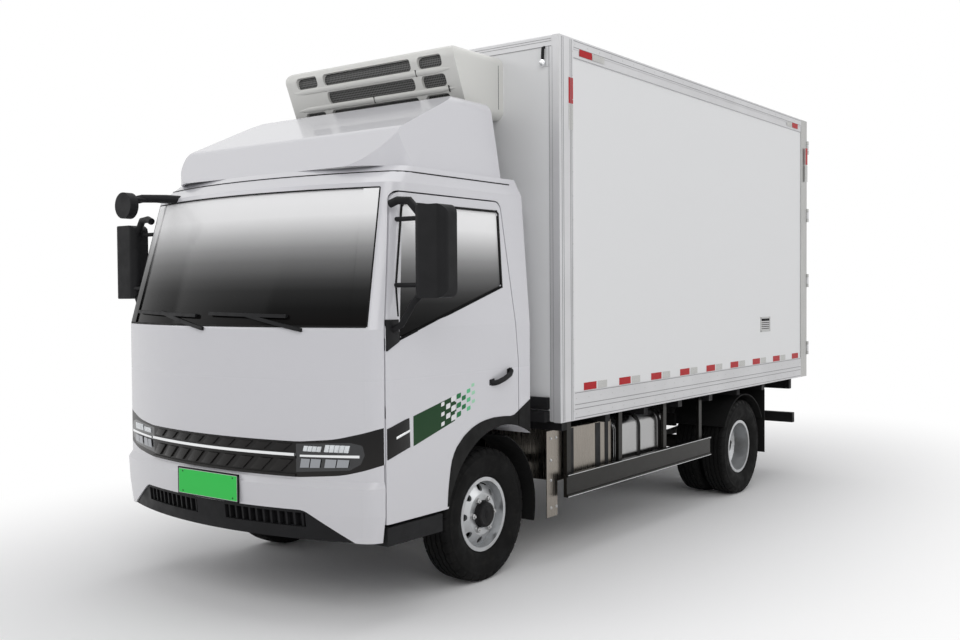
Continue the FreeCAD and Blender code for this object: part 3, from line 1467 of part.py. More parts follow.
def cab():
    outer = cab_form("cab_outer", "0")
    inner = cab_form("cab_inner", "cab_wall")
    over = cab_form("cab_over", "0 - overrun")
    jamb = cab_form("cab_jamb", "(cab_wall + door_jamb_gap)")
    glass_out = cab_form("cab_glass_out", "glass_in")
    glass_back = cab_form("cab_glass_back", "(glass_in + glass_thick)")
    glass_ring = cut("glass_ring", glass_out, glass_back)
    side_run = "cab_half + overrun"
    nose_start = y_at("cab_nose + overrun * 2")

    floor_z = z_at("cab_floor + floor_slab")
    front_y = y_at("cab_nose + overrun * 2")
    rear_y = f"({CAB_REAR} + overrun)"
    room = wide_box("room_box", "cab_half + overrun", front_y, floor_z, f"{rear_y} - {front_y}",
                    f"roof_rise - cab_floor - floor_slab")
    heel = wide_box("heel_box", "cab_half + overrun", y_at("heel_back"), z_at("0"),
                    f"{rear_y} - {y_at('heel_back')}", "seat_base_rise")
    cabin = cut("cabin_space", common("cabin_blank", inner, room), heel)
    below_front = y_at("cab_nose - bumper_depth - footwell_front")
    under = [
        wide_box("under_low", "cab_half - cab_wall - door_jamb_gap", below_front, z_under("cab_base + overrun"),
                 f"{rear_y} - {below_front}", "cab_base + overrun + cab_floor"),
        wide_box("under_high", "cab_half - cab_wall - door_jamb_gap", y_at("heel_back - floor_slab"),
                 z_under("cab_base"), f"{rear_y} - {y_at('heel_back - floor_slab')} - overrun - cab_wall",
                 "cab_base + seat_base_rise - floor_slab"),
    ]
    under_rear = wide_box("under_rear", "cab_half + overrun", front_y, z_under("cab_base + overrun"),
                          f"{rear_y} - {front_y}", "cab_base + overrun - shell_base")
    wheel_space = arch("arch_left", "tyre_radius + arch_gap")
    wheel_other = mirrored("arch_right", wheel_space)
    nose_cut = below_band("nose_cut", y_at("bumper_back - door_step_gap / 2"))
    back_low = wide_box("back_low", "cab_half + overrun", y_at("0"), z_under("cab_base + overrun"),
                        f"{rear_y} - {FA}", "cab_base + overrun + cab_floor")
    door_space = common("door_space", door_outline("door_space_side", "door_step_gap", "0", side_run), over)
    door_hole = cut("door_hole", door_space, jamb)
    door_hole_other = mirrored("door_hole_other", door_hole)
    screen = screen_outline("screen_cut", nose_start, "cab_nose - heel_back")
    band_inner = cab_form("cab_band_back", "band_depth")
    band_ring = cut("band_ring", outer, band_inner)
    band_space = common("band_space", band_ring, band_zone("band_room"))
    shell = cut("shell_blank", outer, cabin, *under, under_rear, wheel_space, wheel_other, nose_cut, back_low,
                door_hole, door_hole_other, screen, band_space)
    lug = prism("pivot_lug", "yz", [
        (f"{y_at('pivot_ahead')} - lug_width", z_at("cab_floor + floor_slab / 2")),
        (f"{y_at('pivot_ahead')} - lug_width", z_under("pivot_drop + lug_width"), "lug_width * 0.5"),
        (f"{y_at('pivot_ahead')} + lug_width", z_under("pivot_drop + lug_width"), "lug_width * 0.5"),
        (f"{y_at('pivot_ahead')} + lug_width", z_at("cab_floor + floor_slab / 2")),
    ], f"{FW} + rail_wall", "lug_width")
    bore = rod("pivot_bore", "x", "0", y_at("pivot_ahead"), z_under("pivot_drop"), "pivot_radius + run_gap / 2",
               "cab_half")
    lug_bored = cut("pivot_lug_bored", lug, bore)
    arms = door_hinge_arms()
    others = [mirrored(f"hinge_arm_other{k}", a) for k, a in enumerate(arms)]
    piece("cab_shell", fuse("cab_shell", shell, lug_bored, mirrored("pivot_lug_other", lug_bored), *arms, *others))
    piece("windscreen", common("windscreen", glass_ring, screen_outline("screen_glass", nose_start,
                                                                       "cab_nose - heel_back")))

    door_ring = cut("door_ring", outer, inner)
    door_side = door_outline("door_side", "0", "0", side_run)
    window = window_outline("window_cut", "0", side_run)
    door = cut("door", common("door_blank", door_ring, door_side), window,
               rod("door_arch", "x", "tunnel_half", FA, "tyre_radius", "tyre_radius + arch_gap", "cab_half"))
    hung = fuse("door_hung", cut("door_pocketed", door, *door_hinge_pockets()), *door_hinge_pins())
    piece("door_left", hung)
    piece("door_right", mirrored("door_other", hung))
    pane = common("door_pane", glass_ring, window_outline("window_glass", "0", side_run))
    piece("door_glass_left", pane)
    piece("door_glass_right", mirrored("door_glass_other", pane))

    bumper()
    nose_band(band_ring)
    fairing()
    mirrors(outer)
    wipers(outer)
    interior(inner)
    steps()


BAND_LOW_SHARES = ((0.583, 0.07), (0.816, 0.17), (0.948, 0.345), (1.06, 0.61))
BAND_TOP_SHARES = ((0.583, 0.98), (0.777, 1.07), (0.932, 1.265), (1.06, 1.5))
LAMP_SHARES = ((0.568, 0.20), (0.568, 0.92), (0.855, 1.0), (0.915, 0.94), (0.925, 0.70), (0.905, 0.47), (0.85, 0.31))


def band_edge(shares):
    """One edge of the band from the right side to the left: level across the nose, rising round the corners."""
    right = [(f"{u} * cab_half", z_at(f"{v} * band_top"), "nose_radius * 0.23") for u, v in shares[:-1]]
    right.append((f"{shares[-1][0]} * cab_half", z_at(f"{shares[-1][1]} * band_top")))
    left = [(f"0 - {p[0]}",) + p[1:] for p in reversed(right)]
    return left + right


def band_zone(name):
    front = y_at("cab_nose + overrun * 2")
    pts = band_edge(BAND_LOW_SHARES) + band_edge(BAND_TOP_SHARES)[::-1]
    return prism(name, "xz", pts, front, f"{y_at('band_back')} - {front}")


def below_band(name, back):
    """All that lies lower than the band, from the nose to a station behind it."""
    front = y_at("cab_nose + overrun * 2")
    low = z_under("cab_base + overrun")
    side = f"{BAND_LOW_SHARES[-1][0]} * cab_half"
    pts = [(f"0 - {side}", low), (side, low)] + band_edge(BAND_LOW_SHARES)[::-1]
    return prism(name, "xz", pts, front, f"{back} - {front}")


def bumper_form(name, inset):
    z0 = z_under("bumper_base")
    pts = [
        cab_section(f"{name}_s0", z0, "cab_half - bumper_depth / 3", BUMPER_NOSE + " - bumper_depth / 3",
                    "nose_radius", CAB_REAR, inset),
        cab_section(f"{name}_s1", z_under("bumper_base * 0.55"), "cab_half", BUMPER_NOSE, "nose_radius",
                    CAB_REAR, inset),
        cab_section(f"{name}_s2", z_under("plate_high + bumper_depth / 2"), "cab_half", "front_overhang",
                    "nose_radius", CAB_REAR, inset),
        cab_section(f"{name}_s3", z_at("band_top * 0.03"), "cab_half", "cab_nose", "nose_radius", CAB_REAR, inset),
        cab_section(f"{name}_s4", z_at("band_top"), "cab_half", "cab_nose", "nose_radius", CAB_REAR, inset),
    ]
    return loft(name, *pts)


def intake_prism(name, start, length):
    """The dark mouth under the plate, open at the bumper's lower edge."""
    lo = z_under("bumper_base + overrun")
    hi = z_under("intake_top")
    pts = [
        ("0 - intake_half", hi, "corner_round * 2"),
        ("0 - intake_reach", lo),
        ("intake_reach", lo),
        ("intake_half", hi, "corner_round * 2"),
    ]
    return prism(name, "xz", pts, start, length)


def bumper():
    form = bumper_form("bumper_form", "0")
    back = bumper_form("bumper_back_form", "bumper_depth")
    ring = cut("bumper_ring", form, back)
    front_y = y_at("front_overhang + overrun")
    strip = common("bumper_strip", ring, below_band("bumper_keep", y_at("bumper_back")))
    shelf = common("bumper_shelf", form,
                   wide_box("bumper_shelf_box", "grid_half", front_y, FT, "front_overhang - rail_front - overrun",
                            "band_top * 0.06"))
    mouth = intake_prism("intake_cut", front_y, "bumper_depth * 8")
    pad = wide_box("plate_pad", "plate_half", y_at("front_overhang"), z_under("plate_low"),
                   "bumper_depth + plate_thick", "plate_low - plate_high")
    piece("front_bumper", fuse("front_bumper", cut("bumper_open", fuse("bumper_whole", strip, shelf), mouth), pad))
    mask = cut("mask_ring", bumper_form("mask_form", "plate_thick"), bumper_form("mask_back", "bumper_depth"))
    panel = common("mask_panel", mask, intake_prism("mask_fill", front_y, "bumper_depth * 8"))
    windows = []
    ribs = []
    for tag, start in (("left", "grid_mid"), ("right", "0 - grid_half")):
        windows.append(box(f"grid_{tag}", start, front_y, z_under("grid_base"), "grid_half - grid_mid",
                           "front_overhang", "grid_base - grid_top"))
        for k in range(11):
            at = f"{start} + {(k + 0.5) / 11:.4f} * (grid_half - grid_mid) - grid_rib / 2"
            ribs.append(box(f"rib_{tag}{k}", at, front_y, z_under("grid_base"), "grid_rib", "front_overhang", "grid_base - grid_top"))
    thin = cut("grid_ring", bumper_form("grid_front", "plate_thick * 2"), bumper_form("grid_back", "bumper_depth"))
    grid = common("grid_ribs", thin, group("rib_set", *ribs))
    backing = common("grid_backing", cut("backing_ring", bumper_form("backing_form", "bumper_depth"),
                                         bumper_form("backing_back", "bumper_depth + plate_thick")),
                     intake_prism("backing_fill", front_y, "bumper_depth * 8"))
    piece("front_grilles", fuse("front_grilles", cut("mask_open", panel, group("grid_windows", *windows)), grid,
                                backing))


def nose_band(ring):
    front_y = y_at("cab_nose + overrun * 2")
    pts = []
    for k, (u, v) in enumerate(LAMP_SHARES):
        pts.append((f"{u} * cab_half", z_at(f"{v} * band_top")) + (("lamp_depth / 2",) if k in (3, 5) else ()))
    lens = prism("lamp_zone", "xz", pts, front_y, f"{y_at('band_back')} - {front_y}")
    lamp_back = cab_form("cab_lamp_back", "lamp_depth")
    lamp_ring = cut("lamp_ring", cab_form("cab_lamp_face", "0"), lamp_back)
    lamps = both("headlamps", common("lamp_left_solid", lamp_ring, lens))
    piece("headlamps", lamps)
    piece("nose_panel", cut("nose_panel", common("band", ring, band_zone("band_fill")), lamps))


def fairing_form(name, inset):
    base = ROOF
    pts = [
        (f"({FA} - fairing_nose + {inset})", base),
        (f"({FA} + fairing_tail + {inset})", base),
        (f"({FA} + fairing_tail + {inset})", f"({base} + fairing_high - {inset})", "fairing_round / 3"),
        (f"({FA} - fairing_crest + {inset})", f"({base} + fairing_high - {inset})", "fairing_round"),
        (f"({FA} - fairing_mid + {inset})", f"({base} + fairing_mid_rise - {inset})", "fairing_round"),
    ]
    side = wide_prism(name + "_side", pts, f"fairing_half + overrun")
    front = prism(name + "_front", "xz", [
        (f"0 - fairing_half + {inset}", base),
        (f"fairing_half - {inset}", base),
        (f"fairing_top_half - {inset}", f"({base} + fairing_high - {inset})", "fairing_round"),
        (f"{inset} - fairing_top_half", f"({base} + fairing_high - {inset})", "fairing_round"),
    ], y_at("fairing_nose + overrun"), "fairing_nose + fairing_tail + 2 * overrun")
    tail = f"({FA} + fairing_tail + overrun)"
    plan = prism(name + "_plan", "xy", [
        (f"0 - fairing_half + {inset}", tail),
        (f"0 - fairing_half + {inset}", f"({FA} - fairing_nose + {inset})", "fairing_plan"),
        (f"fairing_half - {inset}", f"({FA} - fairing_nose + {inset})", "fairing_plan"),
        (f"fairing_half - {inset}", tail),
    ], base, "fairing_high")
    return common(name, side, front, plan)


def fairing():
    outer = fairing_form("fairing_outer", "0")
    inner = fairing_form("fairing_inner", "fairing_wall")
    slot = wide_box("fairing_slot_box", "fairing_slot", y_at("fairing_slot_y"), z_at("roof_rise - overrun"),
                    "fairing_slot_y + fairing_tail + overrun", "fairing_high + 2 * overrun")
    piece("roof_fairing", cut("roof_fairing", outer, inner, slot))


def mirrors(outer):
    head = box("mirror_head_box", "mirror_x - mirror_width / 2", y_at("mirror_y + mirror_deep / 2"),
               z_at("mirror_mid - mirror_height / 2"), "mirror_width", "mirror_deep", "mirror_height")
    face = prism("mirror_face", "xz", [
        ("mirror_x - mirror_width / 2", z_at("mirror_mid - mirror_height / 2"), "mirror_round"),
        ("mirror_x + mirror_width / 2", z_at("mirror_mid - mirror_height / 2"), "mirror_round"),
        ("mirror_x + mirror_width / 2", z_at("mirror_mid + mirror_height / 2"), "mirror_round"),
        ("mirror_x - mirror_width / 2", z_at("mirror_mid + mirror_height / 2"), "mirror_round"),
    ], y_at("mirror_y + mirror_deep"), "mirror_deep * 2")
    plan = prism("mirror_plan", "xy", [
        ("mirror_x - mirror_width / 2", y_at("mirror_y + mirror_deep / 2"), "mirror_round"),
        ("mirror_x + mirror_width / 2", y_at("mirror_y + mirror_deep / 2"), "mirror_round"),
        ("mirror_x + mirror_width / 2", y_at("mirror_y - mirror_deep / 2")),
        ("mirror_x - mirror_width / 2", y_at("mirror_y - mirror_deep / 2")),
    ], z_at("mirror_mid - mirror_height"), "mirror_height * 2")
    shell = common("mirror_head", head, face, plan)
    arms = []
    for k, (y, z) in enumerate((("arm_y - arm_lean", "arm_top"), ("arm_y", "arm_low"))):
        arms.append(rod(f"mirror_arm{k}", "x", "cab_top_half - cab_wall", y_at(y), z_at(z), "arm_radius",
                        "mirror_x - cab_top_half + cab_wall"))
    solid = fuse("mirror_solid", shell, *arms)
    left = cut("mirror", solid, outer)
    piece("mirror_left", left)
    piece("mirror_right", mirrored("mirror_other", left))
    disc = rod("kerb_head", "y", "0 - kerb_x", y_at("kerb_y + kerb_deep / 2"), z_at("kerb_rise"), "kerb_radius",
               "kerb_deep")
    stay = rod("kerb_arm", "y", "0 - kerb_x + kerb_radius / 2", y_at("kerb_y"), z_at("kerb_rise + kerb_radius / 2"),
               "arm_radius", "kerb_y - screen_top_nose + cab_corner * 2")
    piece("front_mirror", cut("front_mirror", fuse("kerb_whole", disc, stay), outer))


# Each wiper is an arm from its pivot and a blade lying nearly level: start across and height, end across and height.
WIPER_SHARES = (
    ((-0.05, -0.010, -0.54, 0.100), (-0.14, 0.080, -0.91, 0.100)),
    ((0.68, -0.010, 0.27, 0.090), (0.57, 0.080, -0.02, 0.095)),
)


def wipers(outer):
    skin = cab_form("cab_wiper_skin", "0 - wiper_thick")
    ring = cut("wiper_ring", skin, outer)
    made = []
    front_y = y_at("cab_nose + overrun * 2")
    for k, pair in enumerate(WIPER_SHARES):
        sticks = []
        for tag, (x0, z0, x1, z1) in zip(("arm", "blade"), pair):
            pts = [
                (f"{x0} * screen_half", f"{z_at('screen_base')} + {z0} * screen_base"),
                (f"{x0} * screen_half", f"{z_at('screen_base')} + {z0} * screen_base - wiper_wide"),
                (f"{x1} * screen_half", f"{z_at('screen_base')} + {z1} * screen_base - wiper_wide"),
                (f"{x1} * screen_half", f"{z_at('screen_base')} + {z1} * screen_base"),
            ]
            sticks.append(prism(f"wiper_{tag}{k}", "xz", pts, front_y, "cab_nose - heel_back"))
        made.append(fuse(f"wiper{k}", *sticks))
    piece("wipers", common("wipers", ring, group("wiper_sticks", *made)))


def interior(inner):
    low = z_at("dash_low")
    top = z_at("dash_top")
    y0 = y_at("cab_nose")
    y1 = y_at("cab_nose - dash_deep - cab_wall")
    block = wide_prism("dash_block", [
        (y0, low), (y0, top), (f"{y1} - cab_corner / 2", top, "seat_round"),
        (y1, f"{low} + (dash_top - dash_low) * 0.6", "seat_round"), (f"{y1} - cab_corner", low),
    ], "dash_half")
    dash = common("dash", block, inner)
    tilt = Placement(Vector(), Rotation(Vector(1, 0, 0), 140))
    ring_y = f"{y1} + wheel_ring"
    ring_z = f"{top} + wheel_tube * 3"
    ring = doc.addObject("Part::Torus", "steering_ring")
    ring.Placement = tilt
    tie(ring, Radius1="wheel_ring", Radius2="wheel_tube")
    rest_at(ring, "column_x", ring_y, ring_z)
    column = doc.addObject("Part::Cylinder", "column")
    column.Placement = tilt
    tie(column, Radius="wheel_tube * 2", Height="wheel_ring * 2.3")
    rest_at(column, "column_x", ring_y, ring_z)
    spoke = rod("spoke", "x", "column_x - wheel_ring", ring_y, ring_z, "wheel_tube * 0.7", "wheel_ring * 2")
    piece("dashboard", fuse("dashboard", dash, ring, column, spoke))
    seats = []
    base = z_at("seat_base_rise")
    y2 = y_at("heel_back")
    for tag, x, wide in (("driver", "seat_x", "seat_wide"), ("bench", "0 - seat_x * 0.9", "bench_wide")):
        pts = [
            (y2, base), (y2, f"{base} + seat_high", "seat_round"),
            (f"{y2} + seat_deep", f"{base} + seat_high * 0.86"),
            (f"{y2} + seat_deep + back_thick * 0.5", f"{base} + back_high", "seat_round"),
            (f"{y2} + seat_deep + back_thick * 1.4", f"{base} + back_high", "seat_round"),
            (f"{y2} + seat_deep + back_thick", base),
        ]
        seats.append(prism(f"seat_{tag}", "yz", pts, f"{x} - {wide} / 2", wide))
    piece("seats", group("seats", *seats))


def steps():
    y0 = y_at("door_front")
    y1 = y_at("step_back")
    tread = box("step_tread", "step_in", y0, z_under("step_low"), "cab_half - step_in", f"{y1} - {y0}",
                "step_low - door_base - 2 * door_step_gap")
    riser = box("step_riser", "step_in", y0, z_under("step_low"), "step_plate", f"{y1} - {y0}",
                "step_low + cab_floor")
    left = fuse("step", tread, riser)
    piece("cab_steps", both("cab_steps", left))


ladder_frame()
tow_eye()
front_axle()
steering()
rear_axle()
front_wheel()
rear_wheels()
equipment()
side_guards()
mudguards()
rear_end()
subframe()
box_panels()
portal()
cargo_door()
cooling_unit()
cab()
doc.recompute()

bad = [f"{o.Name} {o.getStatusString()}" for o in doc.Objects if "Invalid" in o.State or "Error" in o.State]
for p in pieces:
    if p.Shape.isNull() or not p.Shape.isValid() or not p.Shape.Solids:
        bad.append(p.Label)
if bad:
    raise RuntimeError("not built: " + ", ".join(bad))
os.makedirs("parts", exist_ok=True)
for p in pieces:
    p.Shape.exportStep(os.path.join("parts", p.Label + ".step"))
print(len(pieces), "pieces")
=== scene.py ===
# %% [markdown]
# # A small refrigerated truck
# The solids of the truck come ready made: frame, axles, cab, box and wheels, each at its real place.
# This file gives them their paints, metals, rubber and glass, and adds the pieces that are too fine
# for the solids, such as trim, lamps' insides, tape, rivets, tread and seats.

# %% Load the truck and the tools
import math
import bmesh
import bpy
from mathutils import Matrix, Vector


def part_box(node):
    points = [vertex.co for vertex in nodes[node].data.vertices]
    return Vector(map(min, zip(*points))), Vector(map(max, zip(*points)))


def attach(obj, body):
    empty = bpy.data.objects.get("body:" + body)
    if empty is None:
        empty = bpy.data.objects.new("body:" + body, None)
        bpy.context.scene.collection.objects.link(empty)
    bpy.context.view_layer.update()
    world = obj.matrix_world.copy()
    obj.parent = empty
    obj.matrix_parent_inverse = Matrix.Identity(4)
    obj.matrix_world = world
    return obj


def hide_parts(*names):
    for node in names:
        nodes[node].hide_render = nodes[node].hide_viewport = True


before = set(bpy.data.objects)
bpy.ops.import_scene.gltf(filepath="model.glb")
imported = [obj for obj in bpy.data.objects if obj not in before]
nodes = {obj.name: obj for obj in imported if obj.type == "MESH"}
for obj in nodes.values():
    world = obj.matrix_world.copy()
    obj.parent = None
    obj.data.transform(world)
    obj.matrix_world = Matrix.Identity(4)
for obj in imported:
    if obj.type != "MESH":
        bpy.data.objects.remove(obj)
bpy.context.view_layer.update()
scene = bpy.context.scene
scene.view_settings.view_transform = "Standard"

# %% [markdown]
# Every place below is read from a few stations: the front axle's place along the truck, the top of
# the ladder frame, and the box of a neighbouring solid. The cab's nose is bowed, so trim on it
# needs the same curve: a big arc across the front and a small one round each corner. Rays sent at
# the cab would find it too, but a formula is exact and gives every height at once.

# %% Stations and the cab's outline
def middle_of(name):
    return [low * 0.5 + high * 0.5 for low, high in zip(*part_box(name))]


_, AXLE, HUB_Z = middle_of("front_left_rim")
REAR_AXLE = middle_of("rear_left_rims")[1]
FRAME_TOP = 0.735
BOX_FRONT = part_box("box_front_wall")[0].y
BOX_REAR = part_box("rear_portal")[1].y - 0.0270
BOX_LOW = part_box("box_left_wall")[0].z
BOX_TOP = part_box("box_roof")[1].z
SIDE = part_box("box_left_wall")[1].x
CORNER = 0.12  # radius of the cab's front corners in plan
BELT, HEAD_LEVEL, ROOF_LEVEL = 0.765, 1.515, 1.610  # rises over the frame where the side changes its lean
WIDE, WIDE_AT_HEAD, WIDE_AT_ROOF = 1.03, 0.975, 0.940  # half widths of the cab at those levels
NOSE, NOSE_AT_HEAD = 1.262, 1.03  # how far the front stands ahead of the axle, at the belt and at the head
BOW, BOW_AT_HEAD = 2.57, 2.9  # radius of the bowed front at those levels


def plan_y(x, half, nose, bow):
    """Where the cab's front lies at a place across it, for one level of the cab."""
    x = min(abs(x), half)
    inner = half - CORNER
    centre = bow - nose
    low = centre - math.sqrt((bow - CORNER) ** 2 - inner ** 2)
    turn = bow * math.sin(math.atan2(inner, centre - low))
    if x <= turn:
        return AXLE + centre - math.sqrt(bow * bow - x * x)
    return AXLE + low - math.sqrt(max(0.0, CORNER ** 2 - (x - inner) ** 2))


def nose_y(x, rise=0.3):
    """The cab's front surface, upright to the belt and leaning back above it."""
    if rise <= BELT:
        return plan_y(x, WIDE, NOSE, BOW)
    t = (rise - BELT) / (HEAD_LEVEL - BELT)
    half = WIDE + (WIDE_AT_HEAD - WIDE) * t
    near = plan_y(x * WIDE / half, WIDE, NOSE, BOW)
    far = plan_y(x * WIDE_AT_HEAD / half, WIDE_AT_HEAD, NOSE_AT_HEAD, BOW_AT_HEAD)
    return near * (1 - t) + far * t


def side_x(rise):
    """The cab's side surface: upright to the belt, then leaning in."""
    if rise <= BELT:
        return WIDE
    if rise <= HEAD_LEVEL:
        return WIDE + (WIDE_AT_HEAD - WIDE) * (rise - BELT) / (HEAD_LEVEL - BELT)
    return WIDE_AT_HEAD + (WIDE_AT_ROOF - WIDE_AT_HEAD) * (rise - HEAD_LEVEL) / (ROOF_LEVEL - HEAD_LEVEL)


print("axles", round(AXLE, 4), round(REAR_AXLE, 4), "nose", round(nose_y(0), 4), "side", round(SIDE, 3))

# %% [markdown]
# ## Camera
# The photograph was taken from ahead and to the left, about as high as a person's eyes, with a
# lens a little longer than normal. Turning the camera by its heading, then its tilt, then a small
# roll gives the same picture of the truck.

# %% Camera
lens = bpy.data.cameras.new("camera")
lens.sensor_width = 36.0
lens.lens = 39.49
lens.clip_end = 200.0
camera = bpy.data.objects.new("camera", lens)
scene.collection.objects.link(camera)
heading, tilt, roll = (math.radians(a) for a in (36.819, 90 - 1.524, -0.4))
camera.matrix_world = (Matrix.Translation((4.534, AXLE - 4.901, 1.683)) @ Matrix.Rotation(heading, 4, "Z")
                       @ Matrix.Rotation(tilt, 4, "X") @ Matrix.Rotation(roll, 4, "Z"))
scene.camera = camera
print("camera at", [round(v, 3) for v in camera.matrix_world.translation])

# %% [markdown]
# ## Finishes
# A finish is a small tree of nodes. Most share one plan: a base colour that drifts a little from
# place to place, a roughness that does the same, and a fine bump. The places come from Object
# coordinates, so that a pattern stays fixed to the truck when a door or a wheel turns.


# %% The tools for finishes
class Finish:
    """A material under construction, with short calls for its nodes."""

    def __init__(self, name, colour, rough, metal=0.0, coat=0.0, shine=0.5):
        self.material = bpy.data.materials.new(name)
        self.material.use_nodes = True
        self.material.diffuse_color = (*colour, 1.0)
        self.tree = self.material.node_tree
        self.shader = self.tree.nodes["Principled BSDF"]
        self.set(self.shader, Base_Color=(*colour, 1.0), Roughness=rough, Metallic=metal, Coat_Weight=coat,
                 Specular_IOR_Level=shine)
        self.where = self.tree.nodes.new("ShaderNodeTexCoord").outputs["Object"]
        self.colour = colour
        self.height = None

    def set(self, node, **values):
        for key, value in values.items():
            socket = node.inputs[int(key[1:])] if key[0] == "i" and key[1:].isdigit() else \
                node.inputs[key.replace("_", " ")]
            if isinstance(value, bpy.types.NodeSocket):
                self.tree.links.new(value, socket)
            else:
                socket.default_value = value

    def node(self, kind, setup=None, **values):
        made = self.tree.nodes.new("ShaderNode" + kind)
        for key, value in (setup or {}).items():
            setattr(made, key, value)
        self.set(made, **values)
        return made

    def sum(self, how, a, b=0.0, c=0.0):
        return self.node("Math", {"operation": how}, i0=a, i1=b, i2=c).outputs[0]

    def noise(self, scale, detail=3.0, stretch=(1, 1, 1)):
        place = self.node("Mapping", Vector=self.where, Scale=stretch).outputs[0]
        return self.node("TexNoise", Vector=place, Scale=scale, Detail=detail).outputs[0]

    def bands(self, direction, scale):
        setup = {"wave_type": "BANDS", "bands_direction": direction}
        return self.node("TexWave", setup, Vector=self.where, Scale=scale).outputs[1]

    def axis(self, name):
        return self.node("SeparateXYZ", Vector=self.where).outputs[name]

    def ramp(self, value, low, high, start=0.0, stop=1.0, curve="SMOOTHSTEP"):
        return self.node("MapRange", {"interpolation_type": curve}, Value=value, i1=low, i2=high, i3=start,
                         i4=stop).outputs[0]

    def mix(self, share, a, b):
        made = self.node("Mix", {"data_type": "RGBA"})
        for index, value in ((0, share), (6, a), (7, b)):
            if isinstance(value, tuple) and len(value) == 3:
                value = (*value, 1.0)
            self.set(made, **{f"i{index}": value})
        return made.outputs[2]

    def drift(self, scale, amount, stretch=(1, 1, 1)):
        """Lets the colour wander between a darker and a lighter shade of itself."""
        low = tuple(c * (1 - amount) for c in self.colour)
        high = tuple(min(1.0, c * (1 + amount)) for c in self.colour)
        colour = self.mix(self.ramp(self.noise(scale, 4.0, stretch), 0.2, 0.8), low, high)
        self.set(self.shader, Base_Color=colour)
        return colour

    def polish(self, scale, low, high, stretch=(1, 1, 1)):
        """Lets the roughness wander, as wear and wiping leave it."""
        self.set(self.shader, Roughness=self.ramp(self.noise(scale, 3.0, stretch), 0.3, 0.7, low, high))

    def bump(self, height, strength, distance=0.001):
        made = self.node("Bump", Strength=strength, Distance=distance, Height=height)
        if self.height is not None:
            self.set(made, Normal=self.height)
        self.height = made.outputs[0]
        self.set(self.shader, Normal=self.height)


def paint(name, colour, rough=0.28, coat=0.5, peel=0.03, shine=0.5):
    """Sprayed paint: even, with a faint orange peel, a clear coat, and a thin film of road dust low down."""
    f = Finish(name, colour, rough, coat=coat, shine=shine)
    height = f.axis("Z")
    film = f.ramp(height, 0.40, 1.30, 0.07, 0.0)
    f.set(f.shader, Base_Color=f.mix(film, colour, (0.30, 0.27, 0.23)),
          Roughness=f.ramp(height, 0.40, 1.60, rough * 1.25, rough))
    f.bump(f.noise(260.0, 2.0), peel)
    return f.material


def plastic(name, colour, rough=0.5, grain=900.0, deep=0.12):
    """Moulded plastic: a fine leather-like grain and a slightly patchy sheen."""
    f = Finish(name, colour, rough, shine=0.12)
    f.drift(9.0, 0.12)
    f.polish(14.0, rough * 0.85, rough * 1.15)
    f.bump(f.noise(grain, 2.0), deep, 0.0005)
    return f.material


def metal(name, colour, rough=0.3, grain=(1, 1, 60), lines=90.0, deep=0.05, bare=1.0):
    """Rolled or brushed metal: fine streaks that run one way. Bare is lower where it is anodised or dull."""
    f = Finish(name, colour, rough, metal=bare)
    f.drift(2.2, 0.06)
    streak = f.noise(lines, 2.0, grain)
    f.set(f.shader, Roughness=f.ramp(streak, 0.3, 0.7, rough * 0.8, rough * 1.25))
    f.bump(streak, deep, 0.0005)
    return f.material


print("finish tools ready")

# %% [markdown]
# ### The truck's own finishes
# The cab is a cool light grey, near white; the box is whiter, with bare aluminium edges. Under
# them sits black chassis paint, with road dust low down. The dust could be a painted picture; here
# it is a brown tint that fades with height, which needs no picture and fits every piece.

# %% Paints
cab_paint = paint("cab_paint", (0.645, 0.643, 0.672), 0.26, 0.4)
box_paint = paint("box_gelcoat", (0.775, 0.780, 0.785), 0.36, 0.15, 0.03)
gloss_black = paint("gloss_black_panel", (0.005, 0.005, 0.006), 0.18, 0.0, 0.02, 0.16)
unit_paint = paint("unit_shell", (0.71, 0.71, 0.68), 0.42, 0.1, 0.05)


def chassis_paint(name, colour, rough=0.45):
    f = Finish(name, colour, rough, shine=0.12)
    clean = f.drift(7.0, 0.25)
    low = f.ramp(f.axis("Z"), 0.15, 0.75, 0.55, 0.05)
    patch = f.ramp(f.noise(5.0, 5.0), 0.35, 0.75)
    f.set(f.shader, Base_Color=f.mix(f.sum("MULTIPLY", low, patch), clean, (0.030, 0.026, 0.021)))
    f.polish(11.0, rough * 0.8, 0.75)
    f.bump(f.noise(140.0, 3.0), 0.12)
    return f.material


frame_black = chassis_paint("frame_black", (0.012, 0.012, 0.013))
axle_iron = chassis_paint("axle_iron", (0.020, 0.019, 0.018), 0.6)
black_plastic = plastic("black_plastic", (0.013, 0.013, 0.014))
soft_black = plastic("liner_black", (0.010, 0.010, 0.010), 0.7, 500.0, 0.2)
rubber = plastic("seal_rubber", (0.008, 0.008, 0.008), 0.62, 1400.0, 0.08)
print("paints ready")
